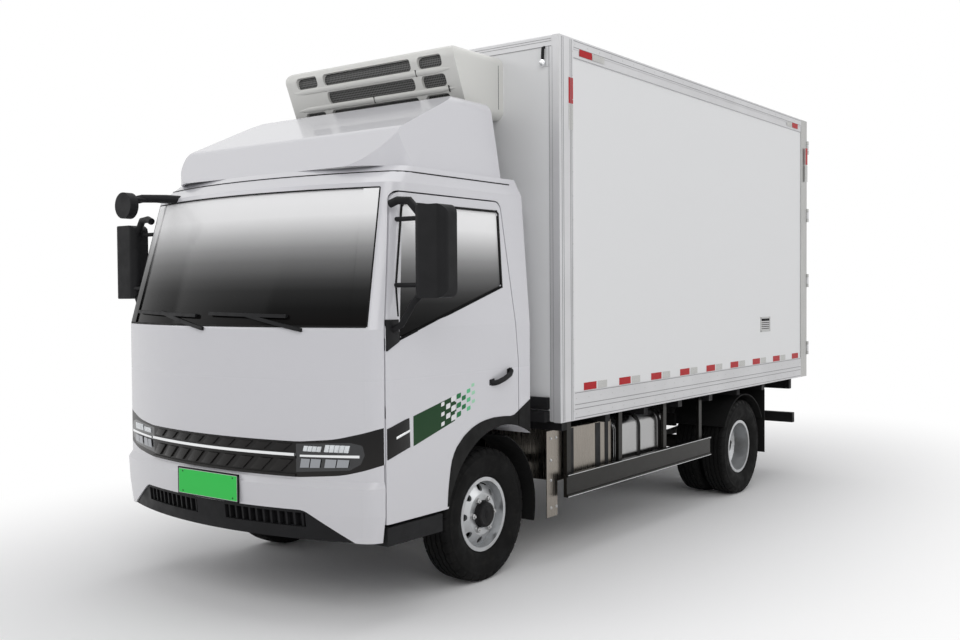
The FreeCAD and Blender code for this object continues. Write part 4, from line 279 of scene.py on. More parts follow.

# %% [markdown]
# Metals: the box's edges are drawn aluminium profiles, whose streaks run along them; the doorway,
# the cabinet and its shield are brushed stainless steel, the cabinet darker and with a warm brown
# tint that is a painted reflection; the tank is rolled aluminium; the bright strip across the nose
# is chrome-plated. All of them are one recipe: a noise that is stretched one way, which moves the
# roughness and a faint bump, as a brush or a roller leaves them.

# %% Metals
profile_metal = metal("drawn_aluminium", (0.60, 0.60, 0.61), 0.42, (30, 1, 30), 40.0, 0.03, 0.45)
# Painted shade: this darker aluminium on the profiles' lines stands in for the shade along their grooves.
profile_line_shade = metal("aluminium_line_shade", (0.26, 0.26, 0.27), 0.5, (30, 1, 30), 40.0, 0.02, 0.4)
stainless = metal("brushed_stainless", (0.42, 0.42, 0.41), 0.32, (60, 60, 1), 3.0, 0.004)
# Painted reflection: the cabinet's darker, warm brown base colour stands in for the warm reflections seen in its steel.
cabinet_steel_warm_reflection = metal("cabinet_steel_warm_reflection", (0.27, 0.245, 0.215), 0.28, (60, 60, 1), 3.0, 0.004)
dark_stainless = metal("side_guard_steel", (0.030, 0.029, 0.027), 0.34, (1, 40, 1), 30.0, 0.05)
tank_metal = metal("rolled_aluminium", (0.38, 0.38, 0.38), 0.20, (1, 10, 1), 6.0, 0.004)
chrome = metal("bright_chrome", (0.80, 0.81, 0.82), 0.08, (1, 1, 1), 20.0, 0.01)
reflector = metal("lamp_reflector", (0.30, 0.31, 0.33), 0.16, (1, 1, 1), 20.0, 0.01)
zinc = metal("zinc_plate", (0.50, 0.50, 0.50), 0.40, (1, 1, 1), 120.0, 0.08)


def checker_plate():
    """Floor plate: small raised dots, scattered by a cell pattern."""
    f = Finish("floor_plate", (0.42, 0.43, 0.44), 0.4, metal=1.0)
    f.drift(3.0, 0.1)
    wave = f.node("TexVoronoi", {"feature": "F1"}, Vector=f.where, Scale=34.0).outputs[0]
    f.bump(f.ramp(wave, 0.15, 0.35, 1.0, 0.0), 0.6, 0.002)
    return f.material


floor_plate = checker_plate()


def wheel_paint(name):
    """Silver wheel enamel: metal flake in paint, with brake dust in patches."""
    f = Finish(name, (0.50, 0.51, 0.52), 0.34, metal=0.75, coat=0.15)
    clean = f.drift(6.0, 0.06)
    dust = f.ramp(f.noise(9.0, 5.0), 0.52, 0.78, 0.0, 0.35)
    f.set(f.shader, Base_Color=f.mix(dust, clean, (0.20, 0.18, 0.15)))
    f.polish(18.0, 0.28, 0.45)
    f.bump(f.noise(300.0, 2.0), 0.05)
    return f.material


wheel_silver = wheel_paint("wheel_silver")
print("metals ready")

# %% [markdown]
# Glass: the panes carry a painted reflection. Their colour runs from pale at the top, where the sky is
# mirrored, to black low down at the belt, and the shader's own reflection is kept faint. The gradient
# follows the height on the truck, so it stays on the pane in every view.


# %% Glass
def pane(name, low, high):
    f = Finish(name, (0.2, 0.2, 0.2), 0.10, shine=0.05)
    # Painted reflection: the base colour runs from black at the low height to near white at the high one, standing in
    # for the sky mirrored in the pane.
    rise = f.ramp(f.axis("Z"), low, high, curve="LINEAR")
    ramp = f.node("ValToRGB", Fac=rise)
    reflection_stops = ramp.color_ramp.elements
    reflection_stops[0].color = (0.004, 0.003, 0.003, 1)
    reflection_stops[1].color = (0.98, 0.98, 0.98, 1)
    for place, shade in ((0.15, 0.008), (0.28, 0.024), (0.36, 0.060), (0.50, 0.17), (0.60, 0.31), (0.70, 0.53),
                         (0.84, 0.90)):
        stop = reflection_stops.new(place)
        stop.color = (shade, shade, shade, 1)
    f.set(f.shader, Base_Color=ramp.outputs[0])
    f.bump(f.noise(1.5, 1.0), 0.01)
    return f.material


screen_glass = pane("windscreen_glass", 1.50, 2.20)
door_glass = pane("door_glass", 1.42, 2.14)


def lens_glass(name, colour, rough=0.06, ribs=160.0, coat=0.6):
    """A lamp's clear or coloured cover with fine optic ribs inside."""
    f = Finish(name, colour, rough, coat=coat)
    f.drift(12.0, 0.15)
    f.bump(f.bands("X", ribs), 0.25, 0.0008)
    return f.material


lamp_body = lens_glass("headlamp_body", (0.014, 0.015, 0.017), 0.12, 60.0, 0.2)
lamp_white = lens_glass("lamp_white", (0.75, 0.78, 0.80), 0.12, 120.0)
lamp_red = lens_glass("lamp_red", (0.45, 0.008, 0.008), 0.14, 90.0)
lamp_amber = lens_glass("lamp_amber", (0.75, 0.22, 0.01), 0.14, 90.0)
mirror_glass = metal("mirror_glass", (0.70, 0.72, 0.74), 0.03, (1, 1, 1), 5.0, 0.0)


def tape(name, colour):
    """Reflective tape: a honeycomb of cells under a clear film."""
    f = Finish(name, colour, 0.35, shine=0.15)
    cells = f.node("TexVoronoi", {"feature": "DISTANCE_TO_EDGE"}, Vector=f.where, Scale=190.0).outputs[0]
    edge = f.ramp(cells, 0.0, 0.06)
    f.set(f.shader, Base_Color=f.mix(edge, tuple(c * 0.7 for c in colour), colour))
    f.bump(edge, 0.1, 0.0003)
    return f.material


tape_red = tape("tape_red", (0.46, 0.004, 0.009))
tape_white = tape("tape_white", (0.60, 0.60, 0.58))
plate_green = paint("blank_plate_green", (0.025, 0.60, 0.085), 0.45, 0.0, 0.02, 0.25)
decal_dark = paint("decal_dark_green", (0.006, 0.045, 0.012), 0.40, 0.0, 0.02, 0.15)
decal_mid = paint("decal_mid_green", (0.012, 0.16, 0.050), 0.40, 0.0, 0.02, 0.20)
decal_light = paint("decal_light_green", (0.13, 0.52, 0.26), 0.40, 0.0, 0.02, 0.25)
decal_pale = paint("decal_pale_green", (0.36, 0.66, 0.46), 0.40, 0.0, 0.02, 0.25)
print("glass and tape ready")

# %% [markdown]
# Tyre rubber is matt and dark, greyer where the road has scuffed it, with fine moulded rings on
# the walls. Seat cloth is a woven twill. Its threads are far too fine to model, so two waves that
# cross darken the colour and lift the threads in the bump.


# %% Rubber and cloth
def tyre_rubber():
    f = Finish("tyre_rubber", (0.008, 0.008, 0.008), 0.75, shine=0.08)
    clean = f.drift(8.0, 0.3)
    scuff = f.ramp(f.noise(22.0, 6.0), 0.5, 0.8, 0.0, 0.5)
    f.set(f.shader, Base_Color=f.mix(scuff, clean, (0.018, 0.017, 0.015)))
    f.polish(16.0, 0.6, 0.85)
    f.bump(f.noise(420.0, 3.0), 0.15)
    return f.material


def seat_cloth():
    f = Finish("seat_cloth", (0.055, 0.056, 0.062), 0.85)
    weave = f.sum("MULTIPLY", f.bands("X", 130.0), f.bands("Z", 130.0))
    f.set(f.shader, Base_Color=f.mix(weave, (0.030, 0.031, 0.036), (0.085, 0.087, 0.095)), Sheen_Weight=0.3)
    f.bump(weave, 0.4, 0.0008)
    return f.material


def mesh_screen():
    """The cooling unit's grey wire screen: a fine grid of wires, with the holes between painted dark, which is painted
    shade of the unit's inside behind them.
    """
    f = Finish("wire_screen", (0.05, 0.05, 0.05), 0.6)
    grid = f.sum("MAXIMUM", *(f.ramp(f.bands(way, 24.0), 0.70, 0.95) for way in ("X", "Z")))
    # Painted shade: the near-black between the wires stands in for the shaded inside of the unit.
    f.set(f.shader, Base_Color=f.mix(grid, (0.012, 0.012, 0.012), (0.16, 0.16, 0.155)))
    f.bump(grid, 0.7, 0.002)
    return f.material


tyre_black = tyre_rubber()
cloth = seat_cloth()
screen_mesh = mesh_screen()
print("rubber and cloth ready")

# %% [markdown]
# ### Dressing the solids
# Each solid that keeps its own shape takes one of these finishes in its material slot.

# %% Finishes on the solids
FINISH_OF = {
    cab_paint: "cab_shell front_bumper roof_fairing door_left door_right",
    box_paint: "box_roof box_left_wall box_right_wall box_front_wall cargo_door_left cargo_door_right",
    profile_metal: "box_frame",
    dark_stainless: "side_guards",
    stainless: "rear_portal",
    cabinet_steel_warm_reflection: "equipment_box",
    tank_metal: "fuel_tank",
    floor_plate: "box_floor",
    frame_black: "ladder_frame battery_pack rear_underrun tail_lamps box_subframe tie_rod tow_eye",
    axle_iron: "front_axle rear_axle knuckle_left knuckle_right",
    soft_black: "mudguards",
    black_plastic: "front_grilles front_mirror wipers dashboard cab_steps mirror_left mirror_right",
    gloss_black: "nose_panel",
    lamp_body: "headlamps",
    screen_glass: "windscreen",
    door_glass: "door_glass_left door_glass_right",
    unit_paint: "cooling_unit evaporator",
    screen_mesh: "cooling_grille",
    cloth: "seats",
    wheel_silver: "front_left_rim front_right_rim rear_left_rims rear_right_rims",
    tyre_black: "front_left_tyre front_right_tyre rear_left_tyres rear_right_tyres",
}
for material, names in FINISH_OF.items():
    for name in names.split():
        for place in nodes[name].material_slots:
            place.material = material
print("dressed", sum(len(n.split()) for n in FINISH_OF.values()), "solids")

# %% [markdown]
# ## Tools for small pieces
# Each small piece starts as an outline, a section or a profile, and is drawn out, bent along the
# cab or turned about an axis, with its edges rounded. Pieces that are many, such as rivets, share one mesh.


# %% The tools for pieces
def verts_in(geom):
    return [v for v in geom if isinstance(v, bmesh.types.BMVert)]


def dress(bm, name, finish, body, sharp=35.0, twin=False):
    """Turns the mesh under construction into an object that rides on a body; a twin is its mirror image."""
    if twin:
        both = bmesh.ops.duplicate(bm, geom=bm.verts[:] + bm.edges[:] + bm.faces[:])
        bmesh.ops.scale(bm, vec=(-1, 1, 1), verts=verts_in(both["geom"]))
    bmesh.ops.recalc_face_normals(bm, faces=bm.faces[:])
    mesh = bpy.data.meshes.new(name)
    bm.to_mesh(mesh)
    bm.free()
    for face in mesh.polygons:
        face.use_smooth = True
    mesh.set_sharp_from_angle(angle=math.radians(sharp))
    mesh.materials.append(finish)
    made = bpy.data.objects.new(name, mesh)
    scene.collection.objects.link(made)
    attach(made, body)
    return made


def slab(bm, outline, depth, bevel=0.0, segments=2):
    """A flat outline drawn out by a vector, with rounded edges."""
    face = bmesh.ops.contextual_create(bm, geom=[bm.verts.new(p) for p in outline])["faces"][0]
    ring = list(face.verts)
    grown = bmesh.ops.extrude_face_region(bm, geom=[face], use_keep_orig=True)["geom"]
    moved = verts_in(grown)
    bmesh.ops.translate(bm, verts=moved, vec=depth)
    if bevel:
        edges = list({e for v in ring + moved for e in v.link_edges})
        bmesh.ops.bevel(bm, geom=edges, offset=bevel, segments=segments, profile=0.5, affect="EDGES", material=-1)


def panel(bm, axis, at, a, b, depth, bevel=0.0, segments=1):
    """A rectangle at one place on an axis, with spans on the other two, drawn out along the axis."""
    k = "XYZ".index(axis)
    outline = []
    for u, v in ((a[0], b[0]), (a[1], b[0]), (a[1], b[1]), (a[0], b[1])):
        corner = [u, v]
        corner.insert(k, at)
        outline.append(Vector(corner))
    slab(bm, outline, [depth if n == k else 0 for n in range(3)], bevel, segments)


def rim(bm, axis, at, a, b, wide, depth, bevel=0.002, segments=1):
    """Four panels round the inside of a rectangle. Wide is each one's width: foot, head, first and last side."""
    foot, head, first, last = wide
    level = ((a, (b[0], b[0] + foot)), (a, (b[1] - head, b[1])))
    upright = (((a[0], a[0] + first), b), ((a[1] - last, a[1]), b))
    for u, v in level + upright:
        panel(bm, axis, at, u, v, depth, bevel, segments)


def sheet(bm, grid, depth):
    """A grid of vertices under one skin, drawn out along the truck into a thin solid."""
    faces = [bm.faces.new((a[k], b[k], b[k + 1], a[k + 1])) for a, b in zip(grid, grid[1:]) for k in range(len(a) - 1)]
    grown = bmesh.ops.extrude_face_region(bm, geom=faces, use_keep_orig=True)["geom"]
    bmesh.ops.translate(bm, verts=verts_in(grown), vec=(0, depth, 0))


def span(a, b, count):
    return [a + (b - a) * k / (count - 1) for k in range(count)]


def on_nose(u, v, proud):
    """A point on the cab's front at a place across it and a rise over the frame."""
    return Vector((u, nose_y(u, v) - proud, FRAME_TOP + v))


def strip(bm, xs, low, high, proud, sink, rows=3):
    """A thin skin that follows the cab's bowed front between two levels, drawn back into it."""
    grid = []
    for x in xs:
        a = low(x) if callable(low) else low
        b = high(x) if callable(high) else high
        grid.append([bm.verts.new(on_nose(x, rise, proud)) for rise in span(a, b, rows)])
    sheet(bm, grid, proud + sink)


def pipe(bm, points, radius, sides=10):
    """A round bar along a row of points, with closed ends."""
    points = [Vector(p) for p in points]
    rings = []
    for k, p in enumerate(points):
        a = points[max(k - 1, 0)]
        b = points[min(k + 1, len(points) - 1)]
        turn = (b - a).to_track_quat("Z", "Y").to_matrix().to_4x4()
        made = bmesh.ops.create_circle(bm, segments=sides, radius=radius, matrix=Matrix.Translation(p) @ turn)
        rings.append(made["verts"])
    for a, b in zip(rings, rings[1:]):
        edges = {e for v in a + b for e in v.link_edges if e.other_vert(v) in a or e.other_vert(v) in b}
        bmesh.ops.bridge_loops(bm, edges=list(edges))
    for ring in (rings[0], rings[-1]):
        bmesh.ops.contextual_create(bm, geom=ring)


def turned(bm, profile, centre, axis="X", steps=24):
    """A profile of (along, radius) turned about an axis through a centre."""
    turn = Vector([float(axis == name) for name in "XYZ"])
    out = Vector((1, 0, 0)) if axis == "Z" else Vector((0, 0, 1))
    verts = [bm.verts.new(Vector(centre) + turn * a + out * r) for a, r in profile]
    edges = [bm.edges.new(pair) for pair in zip(verts, verts[1:])]
    bmesh.ops.spin(bm, geom=verts + edges, cent=centre, axis=turn, angle=math.tau, steps=steps, use_merge=True,
                   use_duplicate=False)


def skin_rings(bm, rings, closed=False):
    """Faces between neighbouring rings of vertices. A closed row joins its ends; else each end gets a face."""
    for a, b in zip(rings, rings[1:] + rings[:1] if closed else rings[1:]):
        for k in range(len(a)):
            bm.faces.new((a[k], a[k - 1], b[k - 1], b[k]))
    if not closed:
        for ring in (rings[0], rings[-1]):
            bm.faces.new(ring)


SIDES = ((1, "left"), (-1, "right"))


def on_side(y, rise, out=0.0):
    """A point on the cab's left side: y is measured from the front axle."""
    return Vector((side_x(rise) + out, AXLE + y, FRAME_TOP + rise))


print("piece tools ready")

# %% [markdown]
# ## The nose
# Between the lamps runs a black band with two rows of slanted fins, and a bright strip over the gap
# between the rows. The fins are moulded in one with the band on the real truck. Here each row is one
# mesh: a slanted blade, repeated along the bowed front. An array would repeat it too, but every
# blade has to sit on the curve, so each is drawn at its own place.


# %% Fins and bright strip of the nose band
def fin_row(bm, first, last, count, low, high, lean, thick, proud):
    for x in span(first, last, count):
        corners = ((x - thick, low), (x + thick, low), (x + thick + lean, high), (x - thick + lean, high))
        slab(bm, [on_nose(u, v, proud * (1.0 if u > x else 0.45)) for u, v in corners], (0, proud + 0.004, 0), 0.0022)


bm = bmesh.new()
fin_row(bm, -0.520, 0.470, 9, 0.146, 0.184, 0.050, 0.044, 0.008)
fin_row(bm, -0.540, 0.460, 9, 0.038, 0.102, 0.070, 0.040, 0.010)
strip(bm, span(-0.585, 0.585, 40), 0.108, 0.122, 0.006, 0.004)
strip(bm, span(-0.585, 0.585, 40), 0.018, 0.030, 0.010, 0.004)
fins = dress(bm, "nose_fins", gloss_black, "cab")

bm = bmesh.new()
strip(bm, span(-0.583, 0.583, 48), 0.1225, 0.137, 0.012, 0.002, 4)
for end in (-1, 1):
    strip(bm, span(end * 0.612, end * 0.93, 16), lambda x: 0.120 + 0.02 * (abs(x) - 0.61),
          lambda x: 0.130 + 0.03 * (abs(x) - 0.61), 0.006, 0.004)
dress(bm, "nose_bright_strip", chrome, "cab")
print("fins", len(fins.data.polygons), "faces")

# %% [markdown]
# The headlamps' covers are dark glass. On each there are two blocks of light guides above the
# bright line, and four square reflector cups below it. They lie on the cover's face, each with a
# slanted end, because the lamp narrows towards the door. A guide is a small rounded slab. A cup
# starts as one face, which is inset three times and pushed in and out in its middle.


# %% Inside the headlamps
def lamp_block(bm, x0, x1, low, high, cells, slant, proud):
    wide = (x1 - x0) / cells
    for k in range(cells):
        a = x0 + k * wide + 0.0016
        b = x0 + (k + 1) * wide - 0.0016
        corners = ((a, low), (b, low), (b + slant, high), (a + slant, high))
        slab(bm, [on_nose(u, v, proud) for u, v in corners], (0, proud + 0.003, 0), 0.0018)


bm = bmesh.new()
lamp_block(bm, 0.625, 0.725, 0.148, 0.176, 4, 0.007, 0.004)
lamp_block(bm, 0.742, 0.872, 0.149, 0.186, 5, 0.009, 0.004)
guides = dress(bm, "lamp_light_guides", lamp_white, "cab", twin=True)

bm = bmesh.new()
for x0, x1, low, high in ((0.612, 0.662, 0.064, 0.111), (0.668, 0.722, 0.066, 0.112), (0.748, 0.806, 0.070, 0.114),
                          (0.812, 0.872, 0.074, 0.115)):
    corners = ((x0, low), (x1, low + 0.003), (x1 + 0.008, high), (x0 + 0.008, high))
    geom = [bm.verts.new(on_nose(u, v, 0.0075)) for u, v in corners]
    face = bmesh.ops.contextual_create(bm, geom=geom)["faces"][0]
    for wide, deep in ((0.0025, 0.0), (0.008, -0.0065), (0.005, 0.0050)):
        bmesh.ops.inset_region(bm, faces=[face], thickness=wide, depth=deep)
dress(bm, "lamp_reflector_cups", reflector, "cab", 20.0, twin=True)
print("lamp blocks", len(guides.data.polygons), "faces")

# %% [markdown]
# The plate is left blank: a plain green foil on the bumper's plate, in a thin dark frame round its
# edge, with four flat screw heads. All of it is flat on the real truck, too, so thin panels with
# rounded edges are enough, and the heads are turned.

# %% Blank plate
pad_y = AXLE - 1.2900
bm = bmesh.new()
panel(bm, "Y", pad_y, (-0.2385, 0.2385), (0.6000, 0.7300), -0.0003, 0.0001)
plate = dress(bm, "blank_plate", plate_green, "cab")

bm = bmesh.new()
rim(bm, "Y", pad_y + 0.0100, (-0.2490, 0.2490), (0.5900, 0.7400), (0.0078, 0.0078, 0.0088, 0.0088), -0.0098,
    0.0015, 2)
for x in (-0.205, 0.205):
    for z in (0.612, 0.718):
        turned(bm, ((-0.0006, 0.0), (-0.0006, 0.0042), (-0.0004, 0.005), (0.001, 0.005)), (x, pad_y, z), "Y", 10)
dress(bm, "plate_frame", black_plastic, "cab")
print("plate", len(plate.data.polygons), "faces")

# %% [markdown]
# The windscreen is bonded behind a black rubber lip. The lip follows the pane's outline over the
# bowed front: level at the foot and the head, slanting in at the sides. A bent pipe would stand
# proud of the glass, so the lip is a thin skin on the same curve, with a band of glass inside it.


# %% Windscreen's outer bands and lip
FOOT, HEAD = 0.778, 1.488


def pane_edge(rise, foot_half, head_half):
    return foot_half + (head_half - foot_half) * (rise - FOOT) / (HEAD - FOOT)


def side_skin(bm, shares, edge, wide, proud, sink, rows):
    """A thin upright skin on both corners of the nose, between two slanting edges."""
    for end in (-1, 1):
        grid = []
        for rise in rows:
            row = (end * (edge(rise) - wide * share) for share in shares)
            grid.append([bm.verts.new(on_nose(x, rise, proud)) for x in row])
        sheet(bm, grid, proud + sink)


bm = bmesh.new()
side_skin(bm, span(0.0, 1.0, 9), lambda rise: pane_edge(rise, 0.966, 0.904), 0.088, 0.0012, 0.006,
          span(FOOT + 0.004, HEAD - 0.003, 22))
bands = dress(bm, "windscreen_edge_bands", screen_glass, "cab")
bm = bmesh.new()
strip(bm, span(-0.962, 0.962, 48), FOOT - 0.004, FOOT + 0.006, 0.0016, 0.012)
strip(bm, span(-0.902, 0.902, 44), HEAD - 0.005, HEAD + 0.003, 0.0016, 0.012)
side_skin(bm, (0.0, 0.5, 1.0), lambda rise: pane_edge(rise, 0.969, 0.907), 0.006, 0.0018, 0.010, span(FOOT, HEAD, 20))
lip = dress(bm, "windscreen_lip", rubber, "cab")
print("bands and lip", len(bands.data.polygons), len(lip.data.polygons), "faces")

# %% [markdown]
# The kerb mirror hangs ahead of the far corner on a thick moulded arm, a bent bar that starts on the
# header above the windscreen and ends on the back of the mirror's head. A curve with a round bevel
# would give it as well; rings that are bridged along a row of points give a mesh straight away.

# %% Arm of the kerb mirror
low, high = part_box("front_mirror")
middle = (low.x + high.x) / 2
bm = bmesh.new()
pipe(bm, [(middle + 0.165, high.y + 0.030, 2.236), (middle + 0.140, high.y - 0.020, 2.244),
          (middle + 0.080, high.y - 0.060, 2.250), (middle + 0.022, low.y + 0.120, 2.246),
          (middle, low.y + 0.055, 2.228), (middle, low.y + 0.022, 2.205)], 0.024, 12)
arm = dress(bm, "kerb_mirror_arm", black_plastic, "cab")
print("arm", len(arm.data.polygons), "faces")

# %% [markdown]
# ## The doors
# Each door carries its own trim, so that it swings with the door: a black seal round the glass, a
# black corner plate that the mirror's lower bracket grows from, a pressed grip, and the insert that
# carries the nose band on past the door's front edge. Each is an outline on the door's leaning side,
# drawn out a little. Left and right are mirror images, but each rides on its own door, so they are
# made one at a time and not as one mirrored mesh.


# %% Trim on the doors' flat side
def side_plate(bm, points, proud, sink, bevel=0.0, hand=1):
    """An outline of (y, rise) on the door's side, following its lean, with some thickness."""
    corners = [on_side(y, rise, -sink) for y, rise in points]
    slab(bm, [Vector((hand * c.x, c.y, c.z)) for c in corners], (hand * (proud + sink), 0, 0), bevel, 2)


def side_band(bm, path, wide, proud, sink, hand=1):
    """A narrow band along a path of (y, rise) on the door's side."""
    for (y0, r0), (y1, r1) in zip(path, path[1:]):
        along = Vector((y1 - y0, r1 - r0)).normalized()
        nx, nz = -along.y * wide / 2, along.x * wide / 2
        ex, ez = along.x * wide / 2, along.y * wide / 2
        side_plate(bm, [(y0 + nx - ex, r0 + nz - ez), (y1 + nx + ex, r1 + nz + ez),
                        (y1 - nx + ex, r1 - nz + ez), (y0 - nx - ex, r0 - nz - ez)], proud, sink, 0.0, hand)


WINDOW = [(-0.985, 0.690), (-0.900, 0.712), (0.010, 0.978), (0.018, 1.395), (0.005, 1.408), (-0.800, 1.408),
          (-0.822, 1.390), (-0.905, 0.985)]
TRIM = (  # name, finish, slot, how far proud, how far in, rounding, outline
    ("corner_plate", black_plastic, "black_plastic", 0.006, 0.010, 0.003,
     ((-0.997, 0.655), (-0.903, 0.700), (-0.903, 0.813), (-0.997, 0.813))),
    ("band_insert", gloss_black, "dark_gloss", 0.0022, 0.008, 0.0012,
     ((-0.995, 0.112), (-0.823, 0.158), (-0.829, 0.308), (-0.860, 0.303), (-0.995, 0.268))),
    ("bright_bar", chrome, "stainless", 0.0050, 0.002, 0.0018,
     ((-0.932, 0.209), (-0.826, 0.237), (-0.826, 0.250), (-0.932, 0.222))),
)
for hand, side in SIDES:
    bm = bmesh.new()
    side_band(bm, WINDOW[1:] + WINDOW[1:3], 0.013, 0.0025, 0.010, hand)
    dress(bm, "door_seal_" + side, rubber, "cab_door_" + side)
    for name, finish, slot, proud, sink, bevel, outline in TRIM:
        bm = bmesh.new()
        side_plate(bm, outline, proud, sink, bevel, hand)
        dress(bm, "door_%s_%s" % (name, side), finish, "cab_door_" + side)
print("door trim ready")

# %% [markdown]
# Round the front wheel's opening runs a black lip, narrow at its foot and wide over the tyre's
# shoulder. Its inner edge follows the round opening. Behind the door it ends in a slanted corner,
# which belongs to the cab. One flat outline of this shape would fold over where it turns back, so the
# lip is carried along the arch in short steps, each with a closed section.

# %% Lips of the wheel arches
ARCH = 0.531  # radius of the opening, about the hub
ARCH_RISE = -0.347  # the hub's height over the frame's top
LIP = ((-0.521, -0.200), (-0.512, -0.100), (-0.487, 0.030), (-0.451, 0.100), (-0.367, 0.168), (-0.285, 0.207),
       (-0.199, 0.229), (-0.100, 0.238), (0.000, 0.236), (0.092, 0.228), (0.144, 0.252))
LIP_FOOT = -0.5103
LIP_END = ((0.152, 0.256), (0.268, 0.310))


def lip_strip(bm, outer, front, count, hand):
    """A closed strip between the outer edge and the round opening, 3 mm proud of the panel."""
    steps = [(Vector(q) - Vector(p)).length for p, q in zip(outer, outer[1:])]
    first, last = math.asin(front / ARCH), math.asin(outer[-1][0] / ARCH)
    layers = []
    for share in span(0.0, 1.0, count):
        left, leg = share * sum(steps), 0
        while leg < len(steps) - 1 and left > steps[leg]:
            left, leg = left - steps[leg], leg + 1
        edge = Vector(outer[leg]).lerp(Vector(outer[leg + 1]), left / steps[leg])
        turn = first + (last - first) * share
        inner = (ARCH * math.sin(turn), ARCH_RISE + ARCH * math.cos(turn))
        ring = [on_side(*edge, -0.004), on_side(*edge, 0.003), on_side(*inner, 0.003), on_side(*inner, -0.004)]
        layers.append([bm.verts.new((hand * v.x, v.y, v.z)) for v in ring])
    skin_rings(bm, layers)


for hand, side in SIDES:
    bm = bmesh.new()
    lip_strip(bm, LIP, LIP_FOOT, 24, hand)
    lip = dress(bm, "door_arch_lip_" + side, rubber, "cab_door_" + side)
bm = bmesh.new()
lip_strip(bm, LIP_END, LIP_END[0][0], 5, 1)
dress(bm, "cab_arch_lips", rubber, "cab", twin=True)
print("arch lips", len(lip.data.polygons), "faces on a door")

# %% [markdown]
# The grip is a bar that bends down to its feet over a shallow dish in the door's skin. The dish is a
# disc with a sunken middle; it lies proud of the skin by its rim only. It could be cut into the
# door, but then the solid would have to change for a dish that is one millimetre deep.


# %% Door grips
for hand, side in SIDES:
    body = "cab_door_" + side
    x = side_x(0.465)
    bm = bmesh.new()
    path = [(-0.115, 0.440, -0.002), (-0.105, 0.441, 0.016), (-0.085, 0.444, 0.026), (-0.030, 0.456, 0.030),
            (0.030, 0.474, 0.028), (0.052, 0.486, 0.020), (0.060, 0.490, -0.002)]
    pipe(bm, [(hand * (x + out), AXLE + y, FRAME_TOP + rise) for y, rise, out in path], 0.0125, 12)
    bmesh.ops.scale(bm, vec=(1, 1, 1.25), space=Matrix.Translation((0, 0, -FRAME_TOP - 0.465)), verts=bm.verts)
    for y, rise in ((-0.112, 0.440), (0.058, 0.491)):
        side_plate(bm, [(y - 0.024, rise - 0.020), (y + 0.024, rise - 0.014), (y + 0.024, rise + 0.020),
                        (y - 0.024, rise + 0.014)], 0.004, 0.006, 0.004, hand)
    dress(bm, "door_grip_" + side, black_plastic, body)

    bm = bmesh.new()
    place = (Matrix.Translation((hand * (x + 0.0006), AXLE - 0.028, FRAME_TOP + 0.466))
             @ Matrix.Rotation(math.radians(90 * hand), 4, "Y") @ Matrix.Diagonal((0.040, 0.068, 1, 1)))
    bmesh.ops.create_circle(bm, cap_ends=True, segments=32, radius=1.0, matrix=place)
    face = bm.faces[:]
    bmesh.ops.inset_region(bm, faces=face, thickness=0.004, depth=0.0012)
    bmesh.ops.inset_region(bm, faces=face, thickness=0.010, depth=-0.0014)
    dress(bm, "door_grip_dish_" + side, cab_paint, body)
print("grips ready")

# %% [markdown]
# The sticker on the door is a plain design: a dark green field that breaks up towards the rear into
# small lozenges, first white ones in the green, then green ones on the paint, paler and smaller with
# each column. The foil is cut from a grid of columns and rows that rises along the door.


# %% Door stripes
FIELD = ((-0.799, 0.158, 0.313), (-0.430, 0.262, 0.397))


def field_point(y, share):
    """A place in the sticker's field: along the door, and a share of the way up from its lower edge."""
    (y0, low0, high0), (y1, low1, high1) = FIELD
    t = (y - y0) / (y1 - y0)
    low, high = low0 + (low1 - low0) * t, high0 + (high1 - high0) * t
    return y, low + (high - low) * share


def lozenge(bm, y, share, size, lift, hand):
    """One patch of the sticker: its long sides follow the field's rise, its short sides lean."""
    wide, tall = 0.038 * size, 0.105 * size
    corners = ((-0.50, -0.9), (0.36, -1.0), (0.50, -0.6), (0.50, 0.9), (-0.36, 1.0), (-0.50, 0.6))
    side_plate(bm, [field_point(y + a * wide, share + b * tall) for a, b in corners], lift, 0.003, 0.0, hand)


THREE, TWO = (0.16, 0.53, 0.90), (0.35, 0.72)
PATCHES = {
    "white": (box_paint, 0.0011, ((-0.556, THREE, 0.72), (-0.510, TWO, 0.95), (-0.464, THREE, 1.05))),
    "mid": (decal_mid, 0.0006, ((-0.417, THREE, 1.0), (-0.373, TWO, 0.92))),
    "light": (decal_light, 0.0006, ((-0.330, THREE, 0.86),)),
    "pale": (decal_pale, 0.0006, ((-0.287, TWO, 0.74), (-0.290, (1.06,), 0.70))),
}
for hand, side in SIDES:
    bm = bmesh.new()
    field = [field_point(*place) for place in ((-0.797, 0.0), (-0.452, 0.0), (-0.440, 0.34), (-0.452, 0.36),
                                               (-0.440, 0.72), (-0.452, 0.74), (-0.446, 1.0), (-0.797, 1.0))]
    side_plate(bm, field, 0.0006, 0.003, 0.0, hand)
    dress(bm, "door_sticker_field_" + side, decal_dark, "cab_door_" + side)
    for shade, (finish, lift, columns) in PATCHES.items():
        bm = bmesh.new()
        for y, shares, size in columns:
            for share in shares:
                lozenge(bm, y, share, size, lift, hand)
        made = dress(bm, "door_sticker_%s_%s" % (shade, side), finish, "cab_door_" + side)
print("stickers ready,", len(made.data.polygons), "faces in the palest")

# %% [markdown]
# The mirrors' heads come with the solids. Here they get their glass, in two panes with a
# bead between, and two black brackets: a curved one above and a short one below. The panes are thin
# panels in a rim, and the brackets are bars along a row of points.

